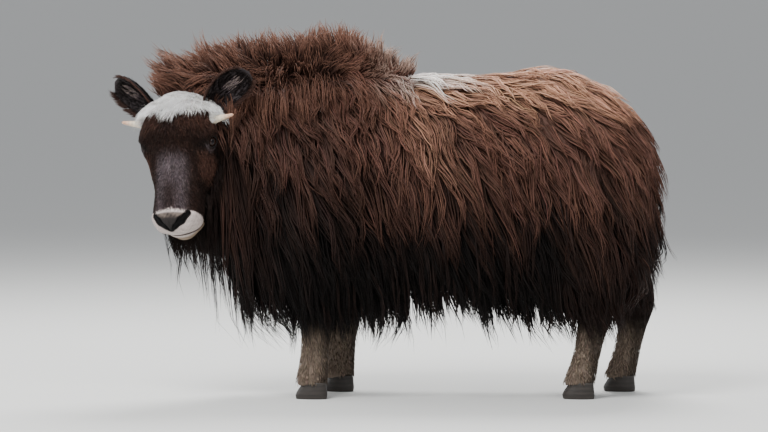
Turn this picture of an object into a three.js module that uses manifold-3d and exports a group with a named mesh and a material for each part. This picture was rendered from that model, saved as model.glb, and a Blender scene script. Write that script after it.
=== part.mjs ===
// A yearling muskox at life size, standing still with its head turned to its left.
// Millimetres, +Z up. The animal faces -X, and its left side is at -Y.
// Flesh is a blend of ellipsoids and tapered rods, and a core is wrapped over it by rays cast from an inner line.
// The coat is flat, tapered locks that grow out of the core, lie over one another and hang free below the flanks.
// Neighbouring nodes are cut so that they meet with a thin gap.
import * as THREE from "three";
import { mergeVertices } from "three/addons/utils/BufferGeometryUtils.js";
import Module from "manifold-3d";

const wasm = await Module();
wasm.setup();

const GAP = 0.3; // between neighbouring nodes
const TOLERANCE = 0.03; // joins and cuts leave no edge shorter than this
const RIGHT = 1; // sign of Y on the animal's right
const LEFT = -1;
const DEG = Math.PI / 180;

// Trunk and neck flesh
const TRUNK_BLEND = 70;
const RIBS = { at: [100, 0, 590], half: [400, 172, 240] };
const WITHERS = { at: [-150, 0, 640], half: [240, 150, 212] };
const CHEST = { at: [-270, 0, 540], half: [175, 132, 190] };
const BELLY = { at: [190, 0, 545], half: [310, 178, 205] };
const LOIN = { from: [-60, 0, 735], to: [430, 0, 765], r: [92, 88] };
const PELVIS = { at: [400, 0, 650], half: [270, 155, 195] };
const SHOULDERS = [
  { at: [-200, -98, 520], half: [135, 82, 205] },
  { at: [-150, 98, 520], half: [135, 82, 205] },
];
const THIGHS = [
  { at: [475, -90, 520], half: [165, 100, 215] },
  { at: [520, 90, 510], half: [150, 95, 205] },
];
const NAPE = { from: [-230, 0, 730], to: [-500, -72, 765], r: [105, 76] };
const THROAT = { from: [-250, 0, 590], to: [-480, -70, 690], r: [140, 90] };

// Line down the middle of neck and trunk, from the head to the rump
const SPINE_LINE = [
  [-510, -76, 735],
  [-430, -45, 705],
  [-300, -8, 650],
  [-180, 0, 620],
  [60, 0, 600],
  [330, 0, 600],
  [500, 0, 600],
];

// Long coat: its depth over the flesh out to the tips, and the share of it that the core fills
const COAT_BACK = 46;
const COAT_SIDE = 68;
const COAT_BACK_Z = 800;
const COAT_SIDE_Z = 600;
const CORE_SHARE = 0.3;
const CREST_CORE = [
  { at: [-540, -72, 820], half: [80, 52, 70] },
  { at: [-400, -35, 840], half: [150, 50, 80] },
  { at: [-190, 0, 860], half: [190, 55, 75] },
];

// Locks hang in columns round the trunk, each a place on its middle line and a heading out from there,
// with 0 towards the rump and 90 towards either flank. Tiers go down a column by the slope of their roots
const LOCK_LIE = [0.32, 0, -1];
const LOCK_RISE = [0.02, 0.5, 1]; // heights of its root, where it clears the core, and its tip, of the coat's depth
const LOCK_CLEAR = 0.16; // where it clears the core, of its length
const LOCK_LIFT = 3; // every second column lies this much higher, and the others lower
const LOCK_WAVE = 9;
const LOCK_THICK = 0.08; // of the width
const LOCK_STATIONS = 4;
const LOCK_SHAPE = { full: 1.05, root: 0.25, tip: 0.72 }; // its width, and what its root and its tip lack of it
const LOCK_SCATTER = { heading: 6, slope: 5, stagger: 7 }; // degrees
const FLANK = { from: -475, to: 470, columns: 10, width: 124 };
const FLANK_TIERS = [
  { slope: 78, length: 290 },
  { slope: 46, length: 300 },
  { slope: 14, length: 320 },
  { slope: -20, length: 340 },
];
const RUMP_COLUMNS = { at: [500, 0, 600], headings: [14, 39, 64], width: 112 };
const BRISKET = { at: [-210, 0, 600], headings: [112, 148], width: 110 };
const BRISKET_TIERS = [
  { slope: -8, length: 330 },
  { slope: -36, length: 300 },
];
const THROAT_LOCKS = { from: -490, to: -310, places: 3, rows: [-1, 0, 1], length: 480, width: 92, lie: [0.12, 0, -1] };
const BACK_LOCKS = { from: -10, to: 520, places: 6, length: 210, width: 105, lie: [1, 0, -0.25] };
const CREST_ROWS = [-1, 0, 1];
const CREST = { from: -560, to: -20, places: 9, root: 30, width: 82, lean: [-0.8, 0.3], splay: 0.3 };
const CREST_REACH = 120; // over which its lean carries a tip along the line of the tips
const CREST_FALL = { sides: 25, ragged: 30 }; // how much lower the tips of its side rows and its shortest locks end
const CREST_ARCH = { lean: -40, row: -14 }; // how far its locks bow, by their lean along the back and by their row
const CREST_TIPS = [[-661, 864], [-607, 937], [-526, 969], [-337, 996], [-175, 1034], [-40, 975], [30, 890]];

// How low the tips hang, from the head to the rump: places along the body and heights
const TIP_LINE = [
  [-600, 370], [-526, 280], [-430, 190], [-372, 150], [-283, 165], [-60, 155], [60, 205], [180, 240], [330, 235],
  [450, 185], [740, 165],
];
const TIP_RAGGED = 45;

// Cut planes across the trunk, which run with the lie of the locks: a point and the direction towards the head
const NECK_CUT = { at: [-290, 0, 600], towards: [-1, -0.1, -0.3] };
const RUMP_CUT = { at: [300, 0, 600], towards: [-1, 0, -0.32] };

// The neck's coat stops behind this plane, given in the head's own frame
const FACE_CUT = { at: [150, 0, 0], towards: [0.77, 0, 1] };

// Head: its joint with the neck, and how it is turned. In its own frame x runs to the nose, y to its left, z up
const HEAD_AT = [-551, -95, 805];
const HEAD_HEADING = 68; // degrees from straight ahead towards its left
const HEAD_PITCH = 66; // degrees, nose down
const HEAD_TILT = 4.7; // degrees, left side up
const HEAD_BLEND = 34;
const HEAD_FUR = 6;
const CRANIUM = { at: [102, 0, 25], half: [88, 92, 78] };
const BROW = { at: [126, 50, 48], half: [46, 36, 30] };
const ORBIT = { at: [144, 74, 30], half: [32, 26, 26] };
const CHEEKBONE = { at: [185, 48, 4], half: [55, 32, 40] };
const CHEEK = { at: [125, 48, -38], half: [100, 40, 60] };
const JAW = { from: [180, 34, -46], to: [300, 22, -40], r: [38, 26] };
const LIP_SIDE = { at: [343, 35, -8], half: [24, 25, 28] };
const FACE = { at: [222, 0, 2], half: [120, 63, 66] };
const NASAL = { from: [130, 0, 66], to: [340, 0, 10], r: [26, 24] };
const MUZZLE = { at: [312, 0, -4], half: [54, 54, 44] };
const NOSE = { at: [345, 0, 16], half: [28, 36, 20] };
const CHIN = { at: [340, 0, -54], half: [36, 30, 20] };
const HEAD_LINE = [
  [60, 0, 0],
  [200, 0, -5],
  [330, 0, -14],
];

const EYE = { at: [144.5, 90, 34], r: 19, out: [0.26, 0.78, 0.57], open: [12.5, 10.8, 16] };
const LID = { ring: 13.8, thick: 3.6, tall: 0.9, out: 13.5 };
const NOSTRIL = { from: [383, 5, 25], to: [343, 46, 33], r: [6, 11], bend: [2, 1, 5] };
const MOUTH = { at: [316, 0, -66], half: [72, 58], power: 2.6, deep: 14, thick: 5, sweep: 62, turn: -36 };
const LIP = { apart: 9, r: 8, inset: 5, under: 4 }; // how far it lies inside the mouth's line, and the lower one more
const HORN = { from: [86, 76, 40], to: [80.5, 164, 57], r: [16, 4], rise: 7 };
const EAR = { root: [54, 76, 30], tip: [-37, 197, 57], width: 84, bow: 8, thick: 8, cup: 24, face: [0.75, 0.1, 0.6] };
const EAR_LEAF = { root: 0.42, belly: 0.58, from: 0.06, turn: 0.72, blunt: 8 }; // how its width runs to the tip

// Locks on the head, each set a row of roots as rays from a place inside, across the head, and a lie
const HEAD_LOCK_DEPTH = 24;
const HEAD_LOCKS = [
  { at: [60, 0, 10], ways: [[-1, 0.3, 0.5], [-1, 0.9, 0.6]], lie: [0.8, 0.6, 0.5], length: 100, width: 56 },
  { at: [70, 0, 10], ways: [[-0.15, 0.18, 1], [-0.15, 0.72, 1]], lie: [1, 0.3, 0], length: 95, width: 50 },
  { at: [130, 0, -20], ways: [[-0.2, 1, -0.7]], lie: [0.5, 0.3, -0.9], length: 110, width: 60 },
  { at: [180, 0, -20], ways: [[0, 0.6, -1]], lie: [0.45, 0.1, -0.9], length: 95, width: 50 },
  { at: [235, 0, -20], ways: [[0, 0.45, -1]], lie: [0.6, 0, -0.9], length: 70, width: 40 },
];

// Legs: stations from the top down, each the centre and the half length and half width of the section
const LEG_Y = 108;
const FORE_STATIONS = [
  { at: [40, -8, 470], half: [62, 45] },
  { at: [42, -4, 400], half: [58, 44] },
  { at: [34, 0, 330], half: [50, 42] },
  { at: [26, 2, 260], half: [43, 40] },
  { at: [16, 4, 200], half: [40, 37] },
  { at: [10, 4, 140], half: [36, 33] },
  { at: [6, 4, 95], half: [37, 34] },
  { at: [2, 4, 60], half: [40, 38] },
  { at: [0, 4, 44], half: [41, 39] },
];
const HIND_STATIONS = [
  { at: [-30, -12, 480], half: [95, 55] },
  { at: [-26, -8, 400], half: [84, 52] },
  { at: [6, -4, 330], half: [62, 46] },
  { at: [38, 0, 270], half: [48, 40] },
  { at: [46, 2, 225], half: [43, 36] },
  { at: [34, 4, 170], half: [36, 33] },
  { at: [20, 4, 110], half: [35, 32] },
  { at: [8, 4, 64], half: [39, 37] },
  { at: [2, 4, 44], half: [41, 39] },
];
const LEGS = [
  { name: "left_foreleg", x: -224, side: LEFT, stations: FORE_STATIONS },
  { name: "right_foreleg", x: -154, side: RIGHT, stations: FORE_STATIONS },
  { name: "left_hind_leg", x: 491, side: LEFT, stations: HIND_STATIONS },
  { name: "right_hind_leg", x: 613, side: RIGHT, stations: HIND_STATIONS },
];
const LEG_SIDES = 12;

// One toe of a hoof: rings from the sole up, each a height, half sizes and how far it leans back
const HOOF_TOP = 44;
const TOE_RINGS = [
  { z: 0, half: [42, 19], back: 0 },
  { z: 10, half: [43, 20], back: 0 },
  { z: 30, half: [36, 18], back: 5 },
  { z: HOOF_TOP - GAP, half: [31, 17], back: 9 },
];
const TOE_APART = 19;
const TOE_SPLAY = 7; // degrees
const HEEL = { at: [16, 0, 21], half: [24, 22, 21] };

const TAIL = { from: [650, 0, 668], to: [715, 0, 515], r: [25, 11], bend: [16, 0, 8] };

const COLOURS = {
  coat: { color: 0x2e211b, roughness: 0.9 },
  face: { color: 0x2a221f, roughness: 0.85 },
  stocking: { color: 0x8c8078, roughness: 0.95 },
  horn: { color: 0xd8cbb4, roughness: 0.5 },
  hoof: { color: 0x2b2724, roughness: 0.55 },
  eye: { color: 0x0d0b0c, roughness: 0.08 },
};

function mirrored(shape, side) {
  const flip = ([x, y, z]) => [x, y * side, z];
  const copy = { ...shape };
  for (const key of ["at", "from", "to", "out", "root", "tip"]) {
    if (copy[key]) copy[key] = flip(copy[key]);
  }
  return copy;
}

const pair = (shape) => [mirrored(shape, LEFT), mirrored(shape, RIGHT)];

// Each leg as tapered rods, for the locks to lie on
const LEG_RODS = LEGS.flatMap(({ x, side, stations }) => stations.slice(1).map((low, i) => {
  const high = stations[i];
  const place = ({ at }) => [x + at[0], side * (LEG_Y + at[1]), at[2]];
  return { from: place(high), to: place(low), r: [high.half[1], low.half[1]] };
}));

const TRUNK = [
  RIBS, WITHERS, CHEST, BELLY, LOIN, PELVIS, ...SHOULDERS, ...THIGHS, NAPE, THROAT,
];
const HEAD = [
  CRANIUM, ...[BROW, ORBIT, CHEEKBONE, CHEEK, JAW, LIP_SIDE].flatMap(pair), FACE, NASAL, MUZZLE, NOSE, CHIN,
];

// Signed distance, near enough, from p to one ellipsoid or tapered rod
function distance(shape, p) {
  if (shape.half) {
    const q = p.map((v, i) => (v - shape.at[i]) / shape.half[i]);
    const k0 = Math.hypot(...q);
    const k1 = Math.hypot(...q.map((v, i) => v / shape.half[i]));
    return k1 > 0 ? (k0 * (k0 - 1)) / k1 : -Math.min(...shape.half);
  }
  const along = shape.to.map((v, i) => v - shape.from[i]);
  const from = p.map((v, i) => v - shape.from[i]);
  const length2 = along.reduce((s, v) => s + v * v, 0);
  const dot = along.reduce((s, v, i) => s + v * from[i], 0);
  const t = Math.min(1, Math.max(0, dot / length2));
  const off = Math.hypot(...from.map((v, i) => v - t * along[i]));
  return off - (shape.r[0] + t * (shape.r[1] - shape.r[0]));
}

function blended(shapes, p, width) {
  let d = Infinity;
  for (const shape of shapes) {
    const e = distance(shape, p);
    const h = Math.max(width - Math.abs(d - e), 0) / width;
    d = Math.min(d, e) - (d === Infinity ? 0 : (h * h * width) / 4);
  }
  return d;
}

const smooth = (t) => {
  const c = Math.min(1, Math.max(0, t));
  return c * c * (3 - 2 * c);
};
const mix = (a, b, t) => a + (b - a) * t;

function coatDepth(p) {
  return mix(COAT_SIDE, COAT_BACK, smooth((p[2] - COAT_SIDE_Z) / (COAT_BACK_Z - COAT_SIDE_Z)));
}

const flesh = (p) => blended(TRUNK, p, TRUNK_BLEND);

// The solid middle of the coat, from which the locks grow
function core(p) {
  const body = flesh(p) - CORE_SHARE * coatDepth(p);
  return Math.min(body, ...CREST_CORE.map((lump) => distance(lump, p)));
}

const headSkin = (p) => blended(HEAD, p, HEAD_BLEND) - HEAD_FUR;

// What the locks of the trunk lie on: its flesh, and the legs
function body(p) {
  return Math.min(flesh(p), ...LEG_RODS.map((rod) => distance(rod, p)));
}

// The first point where field rises to level, on the ray from a point inside
function hit(field, level, from, direction) {
  const at = (t) => from.map((v, i) => v + t * direction[i]);
  let near = 0;
  let far = 0;
  while (field(at(far)) < level) {
    near = far;
    far += Math.max(3, 0.6 * (level - field(at(far))));
  }
  for (let i = 0; i < 24; i++) {
    const middle = (near + far) / 2;
    if (field(at(middle)) < level) near = middle;
    else far = middle;
  }
  return at(far);
}

// A closed skin around a line: rings of rays square to it, with the last few fanned round each end
function wrapped(line, field, level, rings, fans, sectors) {
  const curve = new THREE.CatmullRomCurve3(line.map((p) => new THREE.Vector3(...p)));
  const up = new THREE.Vector3(0, 0, 1);
  const points = [];
  const rows = [];
  for (let i = -fans; i < rings + fans; i++) {
    const u = Math.min(1, Math.max(0, i / (rings - 1)));
    const past = i < 0 ? i : Math.max(0, i - rings + 1);
    rows.push({ u, lean: (past / (fans + 1)) * 90 * DEG });
  }
  const ray = (u, lean, angle) => {
    const centre = curve.getPointAt(u);
    const along = curve.getTangentAt(u);
    const side = new THREE.Vector3().crossVectors(up, along).normalize();
    const top = new THREE.Vector3().crossVectors(along, side);
    const out = top.multiplyScalar(Math.cos(angle)).addScaledVector(side, Math.sin(angle));
    out.multiplyScalar(Math.cos(lean)).addScaledVector(along, Math.sin(lean));
    return hit(field, level, centre.toArray(), out.toArray());
  };
  for (const { u, lean } of rows) {
    for (let j = 0; j < sectors; j++) {
      points.push(...ray(u, lean, (j / sectors) * 2 * Math.PI));
    }
  }
  points.push(...ray(0, -90 * DEG, 0), ...ray(1, 90 * DEG, 0));
  return closedTube(points, rows.length, sectors);
}

// Faces for rows of points round a tube whose two end points come last
function closedTube(points, rows, sectors) {
  const faces = [];
  const first = rows * sectors;
  for (let j = 0; j < sectors; j++) {
    const k = (j + 1) % sectors;
    for (let i = 0; i + 1 < rows; i++) {
      const [a, b] = [i * sectors + j, i * sectors + k];
      faces.push(a, a + sectors, b, b, a + sectors, b + sectors);
    }
    faces.push(first, j, k);
    faces.push(first + 1, (rows - 1) * sectors + k, (rows - 1) * sectors + j);
  }
  return geometryOf(points, faces);
}

function geometryOf(points, faces) {
  const geometry = new THREE.BufferGeometry();
  geometry.setAttribute("position", new THREE.Float32BufferAttribute(points, 3));
  geometry.setIndex(faces);
  return geometry;
}

function solid(geometry) {
  const bare = geometry.clone();
  bare.deleteAttribute("normal");
  bare.deleteAttribute("uv");
  const merged = mergeVertices(bare, 1e-3);
  const triVerts = new Uint32Array(merged.index.array);
  const vertProperties = merged.attributes.position.array;
  const mesh = () => new wasm.Mesh({ numProp: 3, vertProperties, triVerts, tolerance: TOLERANCE });
  const made = new wasm.Manifold(mesh());
  if (made.volume() > 0) return made;
  for (let i = 0; i < triVerts.length; i += 3) {
    [triVerts[i + 1], triVerts[i + 2]] = [triVerts[i + 2], triVerts[i + 1]];
  }
  return new wasm.Manifold(mesh());
}

// A tube through stations, each a centre and a half length and half width, lying flat
function limb(stations, sides, grow) {
  const points = [];
  for (const { at, half } of stations) {
    for (let j = 0; j < sides; j++) {
      const angle = (j / sides) * 2 * Math.PI;
      points.push(
        at[0] + (half[0] + grow) * Math.cos(angle),
        at[1] + (half[1] + grow) * Math.sin(angle),
        at[2],
      );
    }
  }
  points.push(...stations[0].at, ...stations[stations.length - 1].at);
  return closedTube(points, stations.length, sides);
}

function leg({ x, side, stations }, grow) {
  const placed = stations.map(({ at, half }) => ({
    at: [x + at[0], side * (LEG_Y + at[1]), at[2]],
    half,
  }));
  return solid(limb(placed, LEG_SIDES, grow));
}

function toe(side) {
  const rings = TOE_RINGS.map(({ z, half, back }) => ({ at: [back, 0, z], half }));
  const geometry = limb(rings, 8, 0);
  geometry.rotateZ(side * TOE_SPLAY * DEG);
  geometry.translate(0, side * TOE_APART, 0);
  return solid(geometry);
}

function ball({ at, half }, across, down, grow) {
  const geometry = new THREE.SphereGeometry(1, across, down);
  geometry.scale(half[0] + grow, half[1] + grow, half[2] + grow);
  geometry.translate(...at);
  return geometry;
}

function hoof({ x, side }) {
  const heel = solid(ball(HEEL, 8, 5, 0));
  const made = wasm.Manifold.union([toe(LEFT), toe(RIGHT), heel]);
  return made.trimByPlane([0, 0, 1], 0).translate([x, side * (LEG_Y + 4), 0]);
}

// The height at x of a line of places and heights
function lineAt(line, x) {
  for (let i = 1; i < line.length; i++) {
    const [a, b] = [line[i - 1], line[i]];
    if (x < b[0]) return mix(a[1], b[1], Math.max(0, (x - a[0]) / (b[0] - a[0])));
  }
  return line[line.length - 1][1];
}

// Draws that are the same every time, from 0 to 1
const SEED = 78;
let drawn = SEED;
function draw() {
  drawn = (drawn * 1664525 + 1013904223) % 4294967296;
  return drawn / 4294967296;
}
const spread = (width) => (draw() - 0.5) * width;

function outward(field, p) {
  const step = 2;
  const slope = [0, 1, 2].map((i) => {
    const [a, b] = [[...p], [...p]];
    a[i] += step;
    b[i] -= step;
    return field(a) - field(b);
  });
  return new THREE.Vector3(...slope).normalize();
}

// How high a lock lies over the flesh, t of the way along it, as a share of the coat's depth
function rise(t) {
  const [root, clear, tip] = LOCK_RISE;
  const past = (t - LOCK_CLEAR) / (1 - LOCK_CLEAR);
  return past < 0 ? mix(root, clear, t / LOCK_CLEAR) : mix(clear, tip, past);
}

// Points from a root along the lie, kept at a height over a field that grows towards the tip. A lock that is let
// hang leaves the field where that faces down
function strand({ field, root, lie, length, lowest, depth, lift, wave, hangs }) {
  const steps = 12;
  const stride = length / steps;
  const along = new THREE.Vector3(...lie).normalize();
  const phase = draw() * 2 * Math.PI;
  const sway = wave * (0.6 + 0.8 * draw());
  const at = new THREE.Vector3(...root);
  const path = [{ at: at.clone(), out: outward(field, root) }];
  for (let i = 1; i <= steps && at.z > lowest; i++) {
    const t = i / steps;
    const out = outward(field, at.toArray());
    const side = new THREE.Vector3().crossVectors(along, out).normalize();
    const go = along.clone().addScaledVector(out, -Math.max(hangs ? -0.2 : -1, along.dot(out))).normalize();
    at.addScaledVector(go, stride);
    at.addScaledVector(side, ((sway * 2 * Math.PI) / steps) * Math.cos(2 * Math.PI * t + phase) * t);
    const p = at.toArray();
    const high = rise(t) * depth(p) + lift * smooth(t / LOCK_CLEAR);
    const off = high - field(p);
    const hold = off > 0 || !hangs ? 1 : smooth((out.z + 0.75) / 0.5);
    at.addScaledVector(outward(field, p), off * hold);
    path.push({ at: at.clone(), out });
  }
  return path;
}

// A flat lock on a path: three-sided, with a low ridge on its outer face, and drawn to a point
function lock({ path, width }, grow) {
  const curve = new THREE.CatmullRomCurve3(path.map(({ at }) => at));
  const points = [];
  for (let i = 0; i < LOCK_STATIONS; i++) {
    const t = i / LOCK_STATIONS;
    const { out } = path[Math.round(t * (path.length - 1))];
    const at = curve.getPoint(t);
    const side = new THREE.Vector3().crossVectors(curve.getTangent(t), out).normalize();
    const top = new THREE.Vector3().crossVectors(side, curve.getTangent(t)).normalize();
    const share = LOCK_SHAPE.full - LOCK_SHAPE.root * (1 - t) ** 2 - LOCK_SHAPE.tip * t ** 3;
    const half = (width / 2) * share + 2 * grow;
    const thick = LOCK_THICK * width * (1 - 0.45 * t) + 2 * grow;
    points.push(...at.clone().addScaledVector(side, half).addScaledVector(top, -thick / 2).toArray());
    points.push(...at.clone().addScaledVector(top, thick).toArray());
    points.push(...at.clone().addScaledVector(side, -half).addScaledVector(top, -thick / 2).toArray());
  }
  points.push(...curve.getPoint(0).toArray(), ...curve.getPoint(1).toArray());
  return closedTube(points, LOCK_STATIONS, 3);
}

// Turns geometry from the head's own frame into the animal's
const headPlace = new THREE.Matrix4()
  .makeTranslation(...HEAD_AT)
  .multiply(new THREE.Matrix4().makeRotationY(-HEAD_TILT * DEG))
  .multiply(new THREE.Matrix4().makeRotationZ((180 + HEAD_HEADING) * DEG))
  .multiply(new THREE.Matrix4().makeRotationY(HEAD_PITCH * DEG));
const onHead = (geometry) => solid(geometry.clone().applyMatrix4(headPlace));
const headCut = {
  at: new THREE.Vector3(...FACE_CUT.at).applyMatrix4(headPlace).toArray(),
  towards: new THREE.Vector3(...FACE_CUT.towards).transformDirection(headPlace).toArray(),
};

function headSolid(grow) {
  return onHead(wrapped(HEAD_LINE, headSkin, grow, 13, 5, 22));
}

function eyeball(side, grow) {
  const { at, r } = mirrored(EYE, side);
  return onHead(ball({ at, half: [r, r, r] }, 12, 8, grow));
}

// Turns a shape round +Z to face out of an eye, at a height over its middle
function onEye(geometry, side, height) {
  const { at, out } = mirrored(EYE, side);
  const axis = new THREE.Vector3(...out).normalize();
  const along = new THREE.Vector3(1, 0, 0).projectOnPlane(axis).normalize();
  const across = new THREE.Vector3().crossVectors(axis, along);
  geometry.applyMatrix4(new THREE.Matrix4().makeBasis(along, across, axis));
  geometry.translate(...new THREE.Vector3(...at).addScaledVector(axis, height).toArray());
  return onHead(geometry);
}

// The rolled rim of both lids, as one ring round the eye
function lids(side) {
  const ring = new THREE.TorusGeometry(LID.ring, LID.thick, 5, 14);
  ring.scale(1, LID.tall, 1);
  return onEye(ring, side, LID.out);
}

const eyeCut = (side) => onEye(ball({ at: [0, 0, 0], half: EYE.open }, 12, 8, 0), side, EYE.r);

function nostril(side) {
  const { from, to, r } = mirrored(NOSTRIL, side);
  return onHead(spike(from, to, r, NOSTRIL.bend, 7, 5, 0));
}

// A point on the line of the mouth, turned from the front of the muzzle towards either corner
function mouthAt(angle, shrink) {
  const way = [Math.cos(angle), Math.sin(angle)];
  const k = way.reduce((sum, w, i) => sum + Math.abs(w / (MOUTH.half[i] - shrink)) ** MOUTH.power, 0);
  return way.map((w) => w * k ** (-1 / MOUTH.power));
}

// Turns a flat shape, x to the front and y to the left, into the plane of the mouth
function inMouth(geometry) {
  geometry.rotateY(MOUTH.turn * DEG);
  geometry.translate(...MOUTH.at);
  return onHead(geometry);
}

function mouthCut() {
  const steps = 12;
  const line = (shrink) => Array.from({ length: steps + 1 }, (_, i) => (
    mouthAt(mix(-1, 1, i / steps) * MOUTH.sweep * DEG, shrink)
  ));
  const outline = [...line(-2 * MOUTH.deep), ...line(MOUTH.deep).reverse()];
  const shape = new THREE.Shape(outline.map(([x, y]) => new THREE.Vector2(x, y)));
  const slab = new THREE.ExtrudeGeometry(shape, { depth: MOUTH.thick, bevelEnabled: false });
  return inMouth(slab.translate(0, 0, -MOUTH.thick / 2));
}

// A rounded lip along the mouth: level 1 for the upper and -1 for the lower
function lip(level) {
  const [steps, sides] = [9, 5];
  const points = [];
  for (let i = 0; i < steps; i++) {
    const s = mix(-1, 1, i / (steps - 1));
    const angle = s * MOUTH.sweep * DEG;
    const [x, y] = mouthAt(angle, LIP.inset + (level < 0 ? LIP.under : 0));
    for (let j = 0; j < sides; j++) {
      const a = (j / sides) * 2 * Math.PI;
      const r = LIP.r * (1 - 0.4 * s * s);
      const out = r * Math.cos(a);
      points.push(x + out * Math.cos(angle), y + out * Math.sin(angle), level * LIP.apart + r * Math.sin(a));
    }
  }
  const ends = [-1, 1].flatMap((s) => [...mouthAt(s * MOUTH.sweep * DEG, LIP.inset), level * LIP.apart]);
  return inMouth(closedTube([...points, ...ends], steps, sides));
}

const headTufts = HEAD_LOCKS.flatMap(({ at, ways, lie, length, width }) =>
  ways.flatMap((way) => [LEFT, RIGHT].map((side) => {
    const turned = (v) => [v[0], side * v[1], v[2]];
    const root = hit(headSkin, -HEAD_LOCK_DEPTH / 3, at, turned(way));
    const shape = {
      field: headSkin, root, lie: turned(lie), length, lowest: -1000, depth: () => HEAD_LOCK_DEPTH,
      lift: spread(5), wave: 3, hangs: false,
    };
    return { path: strand(shape), width };
  })));

const headForms = (grow) => [
  headSolid(grow), ...headTufts.map((shape) => onHead(lock(shape, grow))), lip(1), lip(-1), lids(LEFT), lids(RIGHT),
];

// A round rod that tapers along a bent line
function spike(from, to, r, bend, sides, steps, grow) {
  const a = new THREE.Vector3(...from);
  const b = new THREE.Vector3(...to);
  const middle = a.clone().lerp(b, 0.5).add(new THREE.Vector3(...bend));
  const curve = new THREE.QuadraticBezierCurve3(a, middle, b);
  const along = b.clone().sub(a).normalize();
  const side = new THREE.Vector3().crossVectors(along, new THREE.Vector3(0.3, 0.2, 1)).normalize();
  const top = new THREE.Vector3().crossVectors(side, along);
  const points = [];
  for (let i = 0; i < steps; i++) {
    const t = i / (steps - 1);
    const radius = mix(r[0], r[1], t) + grow;
    const centre = curve.getPoint(t * 0.97);
    for (let j = 0; j < sides; j++) {
      const angle = (j / sides) * 2 * Math.PI;
      const at = centre.clone().addScaledVector(side, radius * Math.cos(angle));
      points.push(...at.addScaledVector(top, radius * Math.sin(angle)).toArray());
    }
  }
  points.push(...from, ...b.addScaledVector(along, grow).toArray());
  return closedTube(points, steps, sides);
}

function horn(side, grow) {
  const { from, to, r, rise } = mirrored(HORN, side);
  return onHead(spike(from, to, r, [rise, 0, rise], 10, 7, grow));
}

// A leaf-shaped ear, hollowed to a cup on its front, as a closed plate. The rim is steep, so a grown copy is
// lifted further than it is widened
function ear(side, grow) {
  const { root, tip, width, bow, thick, cup } = EAR;
  const [across, steps] = [4, 7];
  const a = new THREE.Vector3(...root);
  const along = new THREE.Vector3(...tip).sub(a);
  const way = along.clone().normalize();
  const sideways = new THREE.Vector3().crossVectors(new THREE.Vector3(...EAR.face), along).normalize();
  const front = new THREE.Vector3().crossVectors(way, sideways);
  const lift = thick / 2 + 4 * grow;
  const points = [];
  const place = (t, s, up) => {
    const leaf = EAR_LEAF.root + EAR_LEAF.belly * Math.sin(Math.PI * (EAR_LEAF.from + EAR_LEAF.turn * t));
    const half = (width / 2) * leaf * Math.sqrt(1 - t ** EAR_LEAF.blunt) + 2;
    const curl = cup * Math.sin(Math.PI * (0.25 + t * 0.75)) * (s ** 2 - 0.5);
    const past = (2 * t - 1) ** 99 * grow;
    const at = a.clone().addScaledVector(along, t).addScaledVector(way, past);
    const aside = (half + grow) * s + bow * Math.sin(Math.PI * t);
    return at.addScaledVector(sideways, aside).addScaledVector(front, curl + up).toArray();
  };
  for (let i = 0; i < steps; i++) {
    const t = i / (steps - 1);
    for (let j = 0; j <= across; j++) points.push(...place(t, (j / across) * 2 - 1, lift));
    for (let j = across; j >= 0; j--) points.push(...place(t, (j / across) * 2 - 1, -lift));
  }
  const geometry = closedTube([...points, ...place(0, 0, 0), ...place(1, 0, 0)], steps, 2 * across + 2);
  if (side === LEFT) geometry.scale(1, -1, 1);
  return onHead(geometry);
}

// In the head's frame y runs to the animal's left, so its left parts have a positive y there
const HEAD_SIDES = [
  { word: "left", side: RIGHT },
  { word: "right", side: LEFT },
];

function cut(solidToCut, cutters) {
  return solidToCut.subtract(wasm.Manifold.union(cutters));
}

// The largest closed surface of a solid, found once more after its corners are rounded to 32-bit numbers
function largest(made) {
  const biggest = (all) => all.decompose().sort((a, b) => b.volume() - a.volume())[0];
  const { vertProperties, triVerts } = biggest(made).getMesh();
  return biggest(solid(geometryOf(vertProperties, [...triVerts])));
}

// The part of a solid between two cut planes, half a gap clear of each
function between(made, headEnd, rumpEnd) {
  let part = made;
  if (headEnd) {
    const n = new THREE.Vector3(...headEnd.towards).normalize().negate();
    part = part.trimByPlane(n.toArray(), n.dot(new THREE.Vector3(...headEnd.at)) + GAP / 2);
  }
  if (rumpEnd) {
    const n = new THREE.Vector3(...rumpEnd.towards).normalize();
    part = part.trimByPlane(n.toArray(), n.dot(new THREE.Vector3(...rumpEnd.at)) + GAP / 2);
  }
  return part;
}

const spine = new THREE.CatmullRomCurve3(SPINE_LINE.map((p) => new THREE.Vector3(...p)));

// The place on the middle line above x
function spineAt(x) {
  let [near, far] = [0, 1];
  for (let i = 0; i < 20; i++) {
    const middle = (near + far) / 2;
    if (spine.getPoint(middle).x < x) near = middle;
    else far = middle;
  }
  return spine.getPoint(near).toArray();
}

function trunkLock(from, way, lie, length, width, lift) {
  const root = hit(body, LOCK_RISE[0] * coatDepth(from), from, way);
  const lowest = lineAt(TIP_LINE, root[0]) + TIP_RAGGED * draw();
  const reach = length * (0.9 + 0.2 * draw());
  const shape = { field: body, root, lie, length: reach, lowest, depth: coatDepth, lift, wave: LOCK_WAVE, hangs: true };
  return { path: strand(shape), width: width * (0.85 + 0.3 * draw()) };
}

// Locks down one column, from a place inside and a heading out of it
function column(at, heading, tiers, width, step) {
  return tiers.map(({ slope, length }) => {
    const h = (heading + spread(LOCK_SCATTER.heading)) * DEG;
    const e = (slope + step * LOCK_SCATTER.stagger + spread(LOCK_SCATTER.slope)) * DEG;
    const way = [Math.cos(e) * Math.cos(h), Math.cos(e) * Math.sin(h), Math.sin(e)];
    return trunkLock(at, way, LOCK_LIE, length, width, step * LOCK_LIFT);
  });
}

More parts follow.
